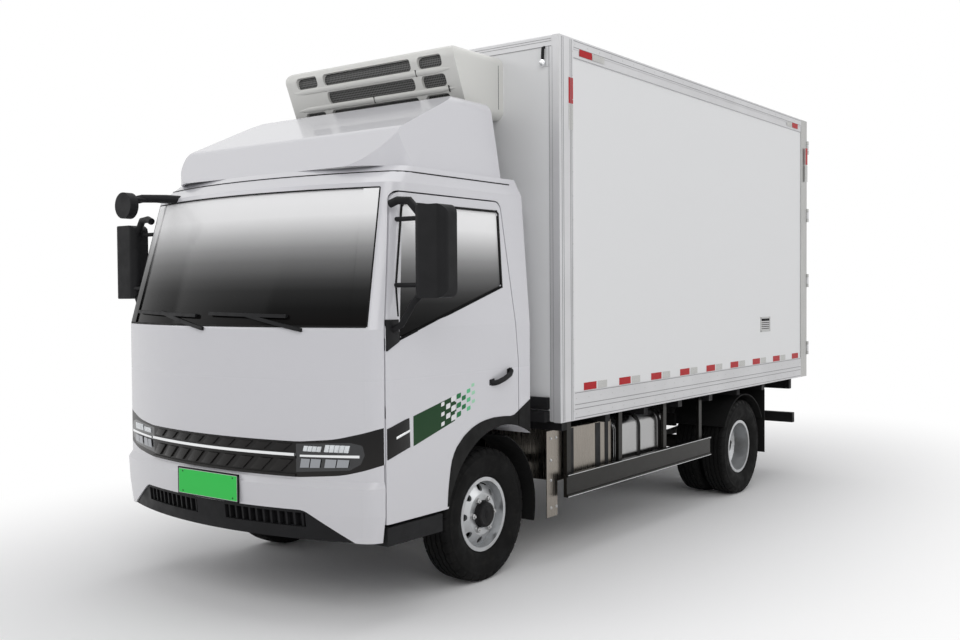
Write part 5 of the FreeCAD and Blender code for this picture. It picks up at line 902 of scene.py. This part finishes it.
# %% Mirror glass and brackets
HEAD_X, GLASS_HALF, BEZEL_HALF = 1.240, 0.082, 0.090
for hand, side in SIDES:
    body = "cab_door_" + side
    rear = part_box("mirror_" + side)[1].y
    middle = hand * HEAD_X
    bm = bmesh.new()
    for z in ((1.680, 1.915), (1.930, 2.090)):
        panel(bm, "Y", rear - 0.001, (middle - GLASS_HALF, middle + GLASS_HALF), z, 0.0035, 0.003, 2)
    dress(bm, "mirror_glass_" + side, mirror_glass, body)

    bm = bmesh.new()
    for z in ((1.672, 1.921), (1.924, 2.098)):
        rim(bm, "Y", rear - 0.002, (middle - BEZEL_HALF, middle + BEZEL_HALF), z, [0.008] * 4, 0.0075)
    dress(bm, "mirror_bezel_" + side, black_plastic, body)

    bm = bmesh.new()
    root = on_side(-0.905, 1.395, -0.004)
    pipe(bm, [(hand * x, y, z) for x, y, z in (
        (root.x, root.y, root.z), (root.x + 0.045, root.y + 0.006, root.z + 0.016),
        (root.x + 0.115, root.y + 0.015, root.z + 0.012), (1.150, AXLE - 0.880, FRAME_TOP + 1.345),
        (1.190, AXLE - 0.872, FRAME_TOP + 1.315))], 0.021, 12)
    root = on_side(-0.945, 0.760, -0.004)
    pipe(bm, [(hand * x, y, z) for x, y, z in (
        (root.x, root.y, root.z), (root.x + 0.050, root.y + 0.010, root.z + 0.028),
        (1.130, AXLE - 0.900, FRAME_TOP + 0.900), (1.190, AXLE - 0.880, FRAME_TOP + 0.960))], 0.017, 12)
    dress(bm, "mirror_bracket_" + side, black_plastic, body)
print("mirrors ready")

# %% [markdown]
# ## The box body
# Red and white reflector tape runs along the foot of each side in nine pairs, and short pieces mark
# the top corners. The tape is a stuck foil. All pieces of one colour are one mesh, made once and
# repeated along the side, then mirrored to the other side.


# %% Reflector tape
FIRST = AXLE + 0.735
PITCH = 0.448
ON_WALL, ON_PROFILE, ON_PORTAL = SIDE + 0.0002, SIDE + 0.0062, SIDE + 0.0192
TAPE_LOW, TAPE_TOP = (1.065, 1.112), (3.128, 3.172)
TAPES = {
    "white": (tape_white, 0.171, 0.118, (
        (ON_PROFILE, AXLE, (0.563, 0.613), (2.665, 2.820)), (ON_PROFILE, AXLE, (0.845, 0.995), TAPE_TOP),
        (ON_PROFILE, BOX_REAR, (-0.500, -0.377), TAPE_TOP), (ON_PORTAL, BOX_REAR, (-0.070, -0.020), (2.670, 2.820)))),
    "red": (tape_red, 0.0, 0.155, (
        (ON_PROFILE, AXLE, (0.563, 0.613), (2.825, 2.982)), (ON_PROFILE, AXLE, (0.690, 0.840), TAPE_TOP),
        (ON_PROFILE, BOX_REAR, (-0.372, -0.235), TAPE_TOP), (ON_PORTAL, BOX_REAR, (-0.070, -0.020), (2.825, 2.975)))),
}
for name, (finish, shift, long, corners) in TAPES.items():
    bm = bmesh.new()
    for k in range(9):
        y = FIRST + k * PITCH + shift
        if y + long < BOX_REAR - 0.09:
            panel(bm, "X", ON_WALL, (y, y + long), TAPE_LOW, 0.0009, 0.0004)
    for x, start, along, up in corners:
        panel(bm, "X", x, [start + y for y in along], up, 0.0009, 0.0004)
    made = dress(bm, "side_tape_" + name, finish, "chassis", twin=True)
print("tape", len(made.data.polygons), "faces of one colour")

# %% [markdown]
# The edge profiles of the box are drawn aluminium with raised lines along them, and are held with
# rivets. The lines are thin half-round beads in a darker aluminium, whose darkness is painted shade,
# standing in for the shade along the profile's grooves; each rivet is a low dome, turned once and repeated.


# %% Lines and rivets on the edge profiles
def bead(bm, a, b, radius):
    pipe(bm, (a, b), radius, 6)


def rivet_line(bm, a, b, count, radius=0.0045):
    dome = ((-0.001, radius), (0.0008, radius * 0.92), (0.0020, radius * 0.55), (0.0024, 0.0))
    for p in span(Vector(a), Vector(b), count):
        turned(bm, dome, p, "X", 8)


rail_x = SIDE + 0.0060
RAIL = (BOX_FRONT + 0.160, BOX_REAR - 0.160)
bm = bmesh.new()
for z, radius in ((BOX_LOW + 0.014, 0.0022), (BOX_LOW + 0.068, 0.0022), (BOX_LOW + 0.096, 0.0022),
                  (BOX_LOW + 0.169, 0.0022), (BOX_TOP - 0.012, 0.0020), (BOX_TOP - 0.052, 0.0020)):
    bead(bm, (rail_x, RAIL[0], z), (rail_x, RAIL[1], z), radius)
for y in (0.022, 0.040, 0.118, 0.134):
    bead(bm, (rail_x, BOX_FRONT + y, BOX_LOW + 0.006), (rail_x, BOX_FRONT + y, BOX_TOP - 0.010), 0.0020)
dress(bm, "profile_lines", profile_line_shade, "chassis", twin=True)

bm = bmesh.new()
for z in (BOX_LOW + 0.040, BOX_LOW + 0.134, BOX_TOP - 0.032):
    rivet_line(bm, (rail_x, RAIL[0] + 0.015, z), (rail_x, RAIL[1] - 0.015, z), 27)
rivet_line(bm, (rail_x, BOX_FRONT + 0.145, BOX_LOW + 0.06), (rail_x, BOX_FRONT + 0.145, BOX_TOP - 0.08), 16)
rivets = dress(bm, "profile_rivets", zinc, "chassis", twin=True)
print("rivets", len(rivets.data.polygons), "faces")

# %% [markdown]
# Low on each side near the rear there is a small vent for the air that the goods give off. It is a flat
# frame with slats that lean outwards. The wall isn't cut for it: a dark sheet behind the slats is painted
# shade, standing in for the dark opening, which is small and always seen through them.

# %% Side vent
bm = bmesh.new()
y0, y1, z0, z1 = AXLE + 3.590, AXLE + 3.800, 1.330, 1.455
rim(bm, "X", SIDE - 0.001, (y0, y1), (z0, z1), [0.014] * 4, 0.0060)
for k in range(5):
    z = z0 + 0.020 + k * 0.0165
    slat = ((SIDE, 0.0), (SIDE + 0.0052, -0.006), (SIDE + 0.0060, -0.003), (SIDE, 0.006))
    slab(bm, [Vector((x, y0 + 0.012, z + s)) for x, s in slat], (0, y1 - y0 - 0.024, 0))
vent = dress(bm, "side_vent", zinc, "chassis", twin=True)
# Painted shade: a dark sheet in place of the shaded opening behind the slats.
bm = bmesh.new()
panel(bm, "X", SIDE + 0.0003, (y0 + 0.012, y1 - 0.012), (z0 + 0.012, z1 - 0.012), 0.0008, 0.0003)
dress(bm, "side_vent_shade_sheet", soft_black, "chassis", twin=True)
print("vent", len(vent.data.polygons), "faces")

# %% [markdown]
# At the foot of the box's front wall there is a black two-step beam. High in both corners of the wall
# hangs a small marker lamp: a flat seat, a bent stalk and a bright bowl. The beam and the seat are
# drawn out, the stalk is a bar along four points, and the bowl is turned from its profile.

# %% Front beams and marker lamps
bm = bmesh.new()
for low, high, out in ((0.893, 0.958, 0.060), (0.966, 1.040, 0.030)):
    panel(bm, "X", -1.045, (BOX_FRONT + 0.002, BOX_FRONT - out), (low, high), 2.090, 0.004, 2)
dress(bm, "front_beams", frame_black, "chassis")
LAMP_X = 1.019
bm = bmesh.new()
for hand in (1, -1):
    panel(bm, "Y", BOX_FRONT + 0.001, (hand * 0.992, hand * 1.046), (3.040, 3.165), -0.005, 0.002)
dress(bm, "marker_lamp_seat", box_paint, "chassis")
bm = bmesh.new()
for hand in (1, -1):
    pipe(bm, [(hand * LAMP_X, BOX_FRONT - out, z) for out, z in
              ((0.003, 3.155), (0.018, 3.150), (0.022, 3.100), (0.020, 3.080))], 0.010, 10)
dress(bm, "marker_lamp_stalk", black_plastic, "chassis")
bm = bmesh.new()
for hand in (1, -1):
    turned(bm, ((-0.022, 0.0), (-0.020, 0.010), (-0.012, 0.019), (0.0, 0.022), (0.012, 0.019), (0.020, 0.010),
                (0.022, 0.0)), (hand * LAMP_X, BOX_FRONT - 0.023, 3.062), "Z", 16)
dress(bm, "marker_lamp_bowl", chrome, "chassis")
print("front wall ready")

# %% [markdown]
# A second, flatter band lies under the roof's edge profile, and one along the top of the front wall.
# Both are thin drawn strips with a raised line. The corner post has one more lip on the front wall.
# They are too thin to matter in the solids, so they are panels that start just inside the wall.

# %% Bands under the edge profiles
bm = bmesh.new()
wall = BOX_FRONT + 0.0005
for hand in (1, -1):
    panel(bm, "X", hand * (SIDE - 0.0005), (BOX_FRONT + 0.150, BOX_REAR - 0.151), (BOX_TOP - 0.118, BOX_TOP - 0.0635),
          hand * 0.0045, 0.0015)
    panel(bm, "Y", wall, (hand * 1.050, hand * 1.079), (BOX_LOW + 0.004, BOX_TOP - 0.066), -0.0045, 0.0015)
panel(bm, "Y", wall, (-1.078, 1.078), (BOX_TOP - 0.066, BOX_TOP - 0.003), -0.0045, 0.0015)
band = dress(bm, "profile_bands", profile_metal, "chassis")
# The raised lines take the darker line finish: painted shade along the profiles' grooves.
bm = bmesh.new()
proud = 0.0042
for z in (BOX_TOP - 0.020, BOX_TOP - 0.034, BOX_TOP - 0.064):
    bead(bm, (-1.070, BOX_FRONT - proud, z), (1.070, BOX_FRONT - proud, z), 0.0016)
for hand in (1, -1):
    for x in (hand * 1.054, hand * 1.076):
        bead(bm, (x, BOX_FRONT - proud, BOX_LOW + 0.010), (x, BOX_FRONT - proud, BOX_TOP - 0.070), 0.0016)
    x, z = hand * (SIDE + proud), BOX_TOP - 0.114
    bead(bm, (x, RAIL[0], z), (x, RAIL[1], z), 0.0016)
dress(bm, "profile_band_lines", profile_line_shade, "chassis")
print("bands", len(band.data.polygons), "faces")

# %% [markdown]
# ## Wheels
# A road tyre has ribs round it, parted by grooves that wander from side to side, and notches in its
# shoulders. One section is carried round the wheel in small steps: at each step the grooves are shifted a
# little, and at some steps the shoulder is cut. A flat tread bent round would leave a seam; a section
# that comes back to its start leaves none. The rubber stays inside the plain tyre's outline.


# %% Tyres with tread
WALL = ((0.0640, 0.2030), (0.0665, 0.2150), (0.0715, 0.2190), (0.0765, 0.2290), (0.0790, 0.2300), (0.0870, 0.2480),
        (0.0945, 0.2680), (0.0985, 0.2900), (0.0998, 0.3070), (0.0990, 0.3240), (0.0965, 0.3390), (0.0978, 0.3420),
        (0.0970, 0.3470), (0.0945, 0.3500), (0.0915, 0.3640), (0.0865, 0.3770), (0.0800, 0.3835))
NOTCH = 0.006
PITCHES = 34


def crown(u):
    """The tread's slightly domed radius at a place across it."""
    return 0.3880 - 0.70 * u * u


def half_section(shift, notched):
    """The tyre's section from the bead to near its middle: (out, radius)."""
    cut = NOTCH if notched else 0.0
    points = [(u, r - (cut if r > 0.360 else 0.0)) for u, r in WALL]
    points += [(0.0700, crown(0.0700) - cut), (0.0680, crown(0.0680))]
    for rib, way in ((0.0520, 1), (0.0180, -1)):
        for out, deep in ((0.0048, 0.0), (0.0030, 0.010), (-0.0030, 0.010), (-0.0048, 0.0)):
            u = rib + way * shift + out
            points.append((u, crown(u) - deep))
    return points


def tyre(bm, centre, along):
    """Adds one tyre with its middle at a place across the truck, on the axle at a place along it."""
    stations = []
    for pitch in range(PITCHES):
        for share, notched in ((0.0, False), (0.03, True), (0.17, True), (0.20, False), (0.50, False)):
            shift = 0.0034 * (1 - 4 * share if share <= 0.5 else 4 * share - 3)
            half = half_section(shift, notched)
            turn = math.tau * (pitch + share) / PITCHES
            ring = half + [(-u, r) for u, r in reversed(half)]
            stations.append([bm.verts.new((centre + u, along + r * math.sin(turn), HUB_Z + r * math.cos(turn)))
                             for u, r in ring])
    skin_rings(bm, stations, closed=True)


FRONT_X, REAR_INNER_X, REAR_OUTER_X = 0.810, 0.7195, 0.9545  # middles of the tyres across the truck
for hand, side in SIDES:
    bm = bmesh.new()
    tyre(bm, hand * FRONT_X, AXLE)
    made = dress(bm, "tyre_front_" + side, tyre_black, "wheel_front_" + side, 40.0)
    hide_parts("front_%s_tyre" % side)
    bm = bmesh.new()
    for x in (REAR_INNER_X, REAR_OUTER_X):
        tyre(bm, hand * x, REAR_AXLE)
    made = dress(bm, "tyres_rear_" + side, tyre_black, "wheel_rear_" + side, 40.0)
    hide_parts("rear_%s_tyres" % side)
print("rear pair", len(made.data.polygons), "faces")

# %% [markdown]
# Each disc is held by six nuts on studs, close round a black hub. A nut is a six-sided turned profile
# on a round collar, and the tyre's valve sticks out of the rim between two of the disc's holes. All of
# these are turned parts, so one spin of a short profile makes each; a spin in six steps gives the nut.


# %% Nuts, hubs and valves
STUD_CIRCLE = 0.0965
COLLAR = ((-0.002, 0.0195), (0.0035, 0.0190), (0.0045, 0.0165))
NUT = ((0.0035, 0.0165), (0.0165, 0.0165), (0.0190, 0.0135), (0.0190, 0.0070))
STUD = ((0.0150, 0.0072), (0.0255, 0.0072), (0.0270, 0.0055), (0.0270, 0.0))
DRUM = ((0.800, 0.115), (0.812, 0.118), (0.816, 0.126), (0.816, 0.176), (0.812, 0.182), (0.780, 0.183))


def outward(bm, profile, centre, hand, steps):
    """A profile turned about the axle, with its outer end towards the truck's side."""
    turned(bm, [(hand * a, r) for a, r in profile], centre, "X", steps)


FRONT_HUB = ((0.8700, 0.0800), (0.8765, 0.0798), (0.8800, 0.0760), (0.8950, 0.0745), (0.9070, 0.0700), (0.9092, 0.0660),
             (0.9092, 0.0560), (0.9075, 0.0540), (0.9075, 0.0200), (0.9090, 0.0180), (0.9090, 0.0))
REAR_HUB = ((0.8450, 0.0800), (0.8520, 0.0798), (0.8560, 0.0730), (0.9120, 0.0710), (0.9270, 0.0660), (0.9318, 0.0580),
            (0.9318, 0.0300), (0.9305, 0.0280), (0.9318, 0.0260), (0.9318, 0.0))
for hand, side in SIDES:
    for end, along, face, profile in (("front", AXLE, 0.872, FRONT_HUB), ("rear", REAR_AXLE, 0.846, REAR_HUB)):
        place = "%s_%s" % (end, side)
        body = "wheel_" + place
        bm = bmesh.new()
        for k in range(6):
            turn = math.tau * (k + 0.5) / 6
            stud = (hand * face, along + STUD_CIRCLE * math.sin(turn), HUB_Z + STUD_CIRCLE * math.cos(turn))
            for part, steps in ((COLLAR, 20), (NUT, 6), (STUD, 10)):
                outward(bm, part, stud, hand, steps)
        dress(bm, "wheel_nuts_" + place, zinc, body)
        bm = bmesh.new()
        outward(bm, profile, (0, along, HUB_Z), hand, 40)
        dress(bm, "wheel_hub_" + place, frame_black, body)
        if end == "front":
            bm = bmesh.new()
            outward(bm, DRUM, (0, along, HUB_Z), hand, 40)
            dress(bm, "brake_drum_front_" + side, soft_black, body)
        bm = bmesh.new()
        out = 0.009 if end == "front" else 0.0
        pipe(bm, [(hand * (face + x), along + 0.012, HUB_Z + z) for x, z in
                  ((-0.030, 0.180), (-0.008 + out, 0.176), (0.006 + out, 0.170))], 0.0042, 8)
        dress(bm, "wheel_valve_" + place, rubber, body)
print("wheels ready")

# %% [markdown]
# ## Under the box
# The tank lies behind a steel cabinet, both strapped to the frame. The straps are steel bands lined with
# rubber: each follows the tank's rounded section. The cabinet shows dark doorposts, and a thin shield
# stands ahead of it, held by bolts.


# %% Straps, cabinet bands and shield bolts
def ribbon(bm, path, start, wide, thick):
    """A band along a path of (x, z) seen from behind, drawn out along the truck."""
    rings = []
    for k, (x, z) in enumerate(path):
        ax, az = path[max(k - 1, 0)]
        bx, bz = path[min(k + 1, len(path) - 1)]
        away = Vector((-(bz - az), bx - ax)).normalized() * -thick
        corners = ((x, start, z), (x, start + wide, z), (x + away.x, start + wide - 0.002, z + away.y),
                   (x + away.x, start + 0.002, z + away.y))
        rings.append([bm.verts.new(c) for c in corners])
    skin_rings(bm, rings)


def tank_path(inset, bend, inner):
    """Round the tank's outer side, a little inside its surface, from its foot to its top."""
    out, low, high = tank_high.x - inset, tank_low.z + inset, tank_high.z - inset
    turns = span(0.0, math.pi / 2, 9)
    foot = [(out - bend + bend * math.sin(a), low + bend - bend * math.cos(a)) for a in turns]
    top = [(out - bend + bend * math.cos(a), high - bend + bend * math.sin(a)) for a in turns]
    return [(inner, low)] + foot + top + [(inner, high)]


tank_low, tank_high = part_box("fuel_tank")
bm = bmesh.new()
for share in (0.08, 0.50, 0.92):
    y = tank_low.y + share * (tank_high.y - tank_low.y) - 0.021
    ribbon(bm, tank_path(0.0005, 0.094, 0.640), y, 0.042, 0.0030)
straps = dress(bm, "tank_straps", rubber, "chassis")
bm = bmesh.new()
for y in (tank_low.y + 0.012, tank_high.y - 0.018):
    ribbon(bm, tank_path(0.0045, 0.090, 0.560), y, 0.006, 0.0018)
dress(bm, "tank_seams", tank_metal, "chassis")

cabinet_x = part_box("equipment_box")[1].x
bm = bmesh.new()
for y0, y1 in ((0.690, 0.812), (1.082, 1.147), (1.205, 1.252)):
    panel(bm, "X", cabinet_x - 0.0005, (AXLE + y0, AXLE + y1), (0.5075, 0.8155), 0.0022, 0.0006)
dress(bm, "cabinet_bands", black_plastic, "chassis")
bm = bmesh.new()
for y, z in ((0.546, 0.775), (0.546, 0.640), (0.546, 0.515), (0.546, 0.345), (0.606, 0.775), (0.606, 0.345)):
    turned(bm, ((-0.001, 0.0105), (0.0015, 0.0100), (0.0022, 0.0080)), (cabinet_x, AXLE + y, z), "X", 14)
    turned(bm, ((0.0015, 0.0078), (0.0058, 0.0078), (0.0066, 0.0062), (0.0066, 0.0)), (cabinet_x, AXLE + y, z), "X", 6)
dress(bm, "shield_bolts", zinc, "chassis")
GUARD_X, GUARD_FRONT, GUARD_REAR = 1.0605, -1.0660, 1.0310
bm = bmesh.new()
for z in (0.4025, 0.5375):
    for x in (GUARD_X, -GUARD_X):
        pipe(bm, [(x, GUARD_FRONT, z), (x, GUARD_REAR, z)], 0.0022, 8)
dress(bm, "guard_edges", chrome, "chassis")
print("straps", len(straps.data.polygons), "faces")

# %% [markdown]
# The lamps at the rear are a row of three on each side: red, amber and clear, each a pillow-shaped lens
# with a rim. A rounded block would have a flat middle, so the lens is a small grid that a formula
# lifts in the middle and holds down along its edges.


# %% Tail lamps
lamp_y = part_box("tail_lamps")[1].y
LENSES = (("clear", lamp_white, 0.624), ("amber", lamp_amber, 0.733), ("red", lamp_red, 0.842))
LENS_WIDE, RIM = 0.104, 0.006
bm = bmesh.new()
for name, finish, x0 in LENSES:
    panel(bm, "Y", lamp_y - 0.0020, (x0, x0 + LENS_WIDE), (0.785, 0.863), 0.0040, 0.003, 2)
dress(bm, "tail_lamp_rims", black_plastic, "chassis", twin=True)
for name, finish, x0 in reversed(LENSES):
    bm = bmesh.new()
    grid = []
    for u in span(0.0, 1.0, 9):
        column = []
        for v in span(0.0, 1.0, 7):
            swell = 0.009 * (1 - (2 * u - 1) ** 4) * (1 - (2 * v - 1) ** 4)
            column.append(bm.verts.new((x0 + RIM + (LENS_WIDE - 2 * RIM) * u, lamp_y + 0.0005 + swell,
                                        0.791 + 0.066 * v)))
        grid.append(column)
    sheet(bm, grid, -0.004)
    dress(bm, "tail_lamp_" + name, finish, "chassis", twin=True)
print("tail lamps ready")

# %% [markdown]
# ## The rear doors
# Two insulated leaves shut against a rubber gasket. Two lock rods stand on each leaf, with guides that
# hold them and grips to turn them, and three strap hinges on the outer edge. The leaves and the rods
# come with the solids; what is added is thin or small, and everything here rides with its leaf.

# %% Gaskets, guides, grips and hinge straps
LEAF_FACE, ROD_Y, RODS_X = 2.9755, 2.9845, (0.033, 0.330)
SLEEVE = ((-0.018, 0.0101), (-0.018, 0.0128), (0.018, 0.0128), (0.018, 0.0101))
BOLT = ((0.003, 0.0085), (0.0060, 0.0082), (0.0085, 0.0050), (0.0090, 0.0))
for hand, side in SIDES:
    body = "rear_door_" + side
    bm = bmesh.new()
    rim(bm, "Y", LEAF_FACE - 0.003, (hand * 0.0055, hand * 1.0345), (1.0065, 3.1255),
        (0.014, 0.014, hand * 0.0084, hand * 0.014), 0.0055)
    dress(bm, "door_gasket_" + side, rubber, body)

    bm = bmesh.new()
    for x in RODS_X:
        for z in (1.130, 1.560, 2.250, 2.700, 3.010):
            across, up = (hand * (x - 0.026), hand * (x + 0.026)), (z - 0.030, z + 0.030)
            panel(bm, "Y", LEAF_FACE - 0.001, across, up, 0.0045, 0.002)
            turned(bm, SLEEVE, (hand * x, ROD_Y, z), "Z", 16)
    for z in (1.320, 2.000, 2.800):
        strap = ((0.890, -0.030), (1.030, -0.036), (1.030, 0.036), (0.890, 0.030))
        slab(bm, [Vector((hand * x, LEAF_FACE - 0.001, z + b)) for x, b in strap], (0, 0.0050, 0), 0.002, 1)
        for x in (0.915, 0.965, 1.010):
            turned(bm, BOLT, (hand * x, LEAF_FACE, z), "Y", 10)
    dress(bm, "door_guides_" + side, stainless, body)

    bm = bmesh.new()
    for x in reversed(RODS_X):
        pipe(bm, [(hand * (x + a), y, 1.900 - drop) for a, y, drop in (
            (0.0, 2.9855, 0.0), (0.020, 2.9925, 0.0), (0.070, 2.9935, 0.010), (0.190, 2.9935, 0.030),
            (0.215, 2.9925, 0.034))], 0.0036, 10)
    dress(bm, "door_grips_rear_" + side, chrome, body)

    for name, finish, first in (("red", tape_red, 0.06), ("white", tape_white, 0.22)):
        bm = bmesh.new()
        for k in range(3):
            x = first + 0.32 * k
            if x + 0.15 < 1.02:
                panel(bm, "Y", LEAF_FACE + 0.0001, (hand * x, hand * (x + 0.150)), (1.060, 1.110), 0.0009, 0.0003)
        dress(bm, "rear_tape_%s_%s" % (name, side), finish, body)
print("rear doors ready")

# %% [markdown]
# ## The cooling unit
# The moulded front of the unit has a bar between each pair of its openings. The bars are raised rounded
# ribs with a dark saw cut here and there where two mouldings meet. The sides show a joint line where the
# hood meets its back plate. A rib is a ring of points carried across and made smaller towards its ends,
# because a bevelled bar would end too bluntly.

# %% Ribs and joints of the cooling unit
unit_low, unit_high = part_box("cooling_unit")


def unit_front(z, out=0.0):
    """The unit's front face leans: its top stands further forward than its foot."""
    t = (z - unit_low.z) / (unit_high.z - unit_low.z)
    return BOX_FRONT - (0.360 + (0.523 - 0.360) * t) - out


def rib(bm, x0, x1, z, tall, proud):
    """A rounded bar along the leaning front, which thins out over its last 4 cm."""
    rings = []
    for x in span(x0, x1, 16):
        near = min(x - x0, x1 - x) / 0.04
        grow = min(1.0, 0.25 + 0.75 * near)
        ring = []
        for k in range(10):
            a = math.tau * k / 10
            up = z + tall / 2 * grow * math.sin(a)
            ring.append(bm.verts.new((x, unit_front(up, proud * grow * math.cos(a)), up)))
        rings.append(ring)
    skin_rings(bm, rings)


UPPER_RIB, LOWER_RIB = (unit_low.z + share * (unit_high.z - unit_low.z) for share in (0.65, 0.37))
bm = bmesh.new()
for z in (UPPER_RIB, LOWER_RIB):
    rib(bm, -0.655, 0.655, z, 0.032, 0.0068)
unit_ribs = dress(bm, "unit_ribs", unit_paint, "chassis", 50.0)
bm = bmesh.new()
for x, z in ((0.40, UPPER_RIB), (0.62, LOWER_RIB), (0.02, LOWER_RIB)):
    cut = ((x - 0.0022, z - 0.018), (x + 0.0022, z - 0.018), (x + 0.0022, z + 0.018), (x - 0.0022, z + 0.018))
    slab(bm, [Vector((u, unit_front(v, -0.004), v)) for u, v in cut], (0, -0.0116, 0))
for hand in (1, -1):
    panel(bm, "X", hand * (unit_high.x - 0.0025), (BOX_FRONT - 0.052, BOX_FRONT - 0.048),
          (unit_low.z + 0.060, unit_high.z - 0.060), hand * 0.0030)
dress(bm, "unit_joints", soft_black, "chassis")
print("ribs", len(unit_ribs.data.polygons), "faces")

# %% [markdown]
# A dark seam runs round the cab under the fairing. Its course is found on the cab itself: rays are sent
# in from outside at one height, and a thin rubber bead lies where they land.

# %% Seam under the fairing
SEAM_RISE = 1.576
REACH = math.radians(106)  # from straight ahead to each end of the seam
middle = Vector((0.0, AXLE - 0.10, FRAME_TOP + SEAM_RISE))
seam = []
for turn in span(-REACH, REACH, 90):
    way = Vector((math.sin(turn), -math.cos(turn), 0.0))
    hit, place, *_ = nodes["cab_shell"].ray_cast(middle + way * 3.0, -way)
    if hit:
        seam.append(place + way * 0.0005)
bm = bmesh.new()
pipe(bm, seam, 0.0036, 8)
dress(bm, "roof_seam", rubber, "cab")
print("seam points", len(seam))

# %% [markdown]
# ## Inside the cab
# The driver's seat and the bench are foam under woven cloth. Each cushion is a closed crowned form: it
# swells in the middle and pulls in along its edges, with two sewn channels across it. They are shaped by
# formula, since the foam is full and holds its shape.


# %% Seats
SWELL = 0.9  # how far a cushion's top swells, as a share of its half thickness


def cushion(bm, centre, half, channels, lean=0.0, steps=26):
    """A crowned block. Centre and half are (x, y, z); channels are the sewn lines' places across it."""
    made = bmesh.ops.create_grid(bm, x_segments=steps, y_segments=steps, size=1.0)["verts"]
    top = bmesh.ops.duplicate(bm, geom=made + list({f for v in made for f in v.link_faces}))["geom"]
    turn = Matrix.Rotation(lean, 4, "X")
    for group, way in ((made, -1), (verts_in(top), 1)):
        for v in group:
            u, w = v.co.x, v.co.y
            edge = (1 - abs(u) ** 5) * (1 - abs(w) ** 5)
            soft = edge ** 0.34 if edge > 0 else 0.0
            sew = sum(math.exp(-((w - c) / 0.035) ** 2) for c in channels) * 0.10 if way > 0 else 0.0
            bulge = SWELL * (1 - u * u) * (1 - w * w) if way > 0 else 0.0
            side = 1 - 0.035 * (abs(u * w)) ** 3
            thick = half[2] * way * (soft * (0.80 - sew) + 0.2 * bulge)
            local = Vector((half[0] * u * side, half[1] * w * side, thick))
            v.co = Vector(centre) + turn.to_3x3() @ local
    bmesh.ops.remove_doubles(bm, verts=bm.verts[:], dist=0.0006)


seat_parts = []
for name, x, half_x in (("driver", 0.430, 0.232), ("bench", -0.387, 0.422)):
    bm = bmesh.new()
    cushion(bm, (x, -2.000, 1.130), (half_x, 0.220, 0.088), (-0.35, 0.35))
    base = dress(bm, "seat_cushion_" + name, cloth, "cab", 60.0)
    bm = bmesh.new()
    cushion(bm, (x, -1.690, 1.425), (half_x - 0.006, 0.232, 0.070), (-0.30, 0.30), math.radians(102))
    back = dress(bm, "seat_back_" + name, cloth, "cab", 60.0)
    seat_parts += [base, back]
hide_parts("seats")
bm = bmesh.new()
for x, half_x in ((0.430, 0.200), (-0.387, 0.390)):
    panel(bm, "Z", 1.0365, (x - half_x, x + half_x), (-2.185, -1.800), 0.030, 0.006, 2)
dress(bm, "seat_frames", frame_black, "cab")
print("seats", [len(p.data.polygons) for p in seat_parts])

# %% [markdown]
# ## Studio
# A wide pale floor that turns to plain white away from the truck, a white surround that only the
# camera, polished faces and glass see, and four large soft lamps. The lamps are weak enough that white
# paint keeps its shade.

# %% Floor, surround and lamps
def seen_directly(tree):
    """1 for rays from the camera, or off a polished or clear surface."""
    path = tree.nodes.new("ShaderNodeLightPath")
    total = path.outputs["Is Camera Ray"]
    for name in ("Is Glossy Ray", "Is Transmission Ray"):
        most = tree.nodes.new("ShaderNodeMath")
        most.operation = "MAXIMUM"
        tree.links.new(total, most.inputs[0])
        tree.links.new(path.outputs[name], most.inputs[1])
        total = most.outputs[0]
    return total


f = Finish("studio_floor", (0.96, 0.96, 0.96), 0.90)
oval = f.node("VectorMath", {"operation": "MULTIPLY"}, i0=f.where, i1=(1.0, 0.50, 0.0)).outputs[0]
far = f.node("VectorMath", {"operation": "LENGTH"}, i0=oval).outputs["Value"]
fade = f.sum("MULTIPLY", f.ramp(far, 1.5, 4.0), seen_directly(f.tree))
plain_white = f.node("Emission", Color=(1, 1, 1, 1), Strength=1.0)
join = f.node("MixShader", i0=fade, i1=f.shader.outputs[0], i2=plain_white.outputs[0])
f.tree.links.new(join.outputs[0], f.tree.nodes["Material Output"].inputs["Surface"])
bm = bmesh.new()
bmesh.ops.create_circle(bm, cap_ends=True, segments=64, radius=60.0)
mesh = bpy.data.meshes.new("studio_floor")
bm.to_mesh(mesh)
bm.free()
mesh.materials.append(f.material)
ground = bpy.data.objects.new("studio_floor", mesh)
scene.collection.objects.link(ground)

world = bpy.data.worlds.new("studio")
scene.world = world
world.use_nodes = True
tree = world.node_tree
plain = tree.nodes["Background"]
plain.inputs[0].default_value = (0.98, 0.98, 1.0, 1)
plain.inputs[1].default_value = 0.42
white = tree.nodes.new("ShaderNodeBackground")
white.inputs[0].default_value = (1, 1, 1, 1)
white.inputs[1].default_value = 1.0
pick = tree.nodes.new("ShaderNodeMixShader")
tree.links.new(seen_directly(tree), pick.inputs[0])
tree.links.new(plain.outputs[0], pick.inputs[1])
tree.links.new(white.outputs[0], pick.inputs[2])
tree.links.new(pick.outputs[0], tree.nodes["World Output"].inputs["Surface"])


def lamp(name, place, aim, power):
    """A square soft lamp of 8 m, turned towards a point on the truck."""
    light = bpy.data.lights.new(name, "AREA")
    light.shape = "SQUARE"
    light.size = 8.0
    light.energy = power
    made = bpy.data.objects.new(name, light)
    scene.collection.objects.link(made)
    made.location = place
    made.rotation_euler = (Vector(aim) - Vector(place)).to_track_quat("-Z", "Y").to_euler()


lamp("key_lamp", (8.0, -10.0, 8.5), (0, -1, 1.4), 435)
lamp("side_lamp", (11.0, 4.0, 6.5), (0, 0.5, 1.6), 205)
lamp("fill_lamp", (-9.0, -9.0, 6.5), (0, 0, 1.4), 215)
lamp("top_lamp", (0, 0.5, 10.0), (0, 0.5, 0), 250)
print("studio ready")
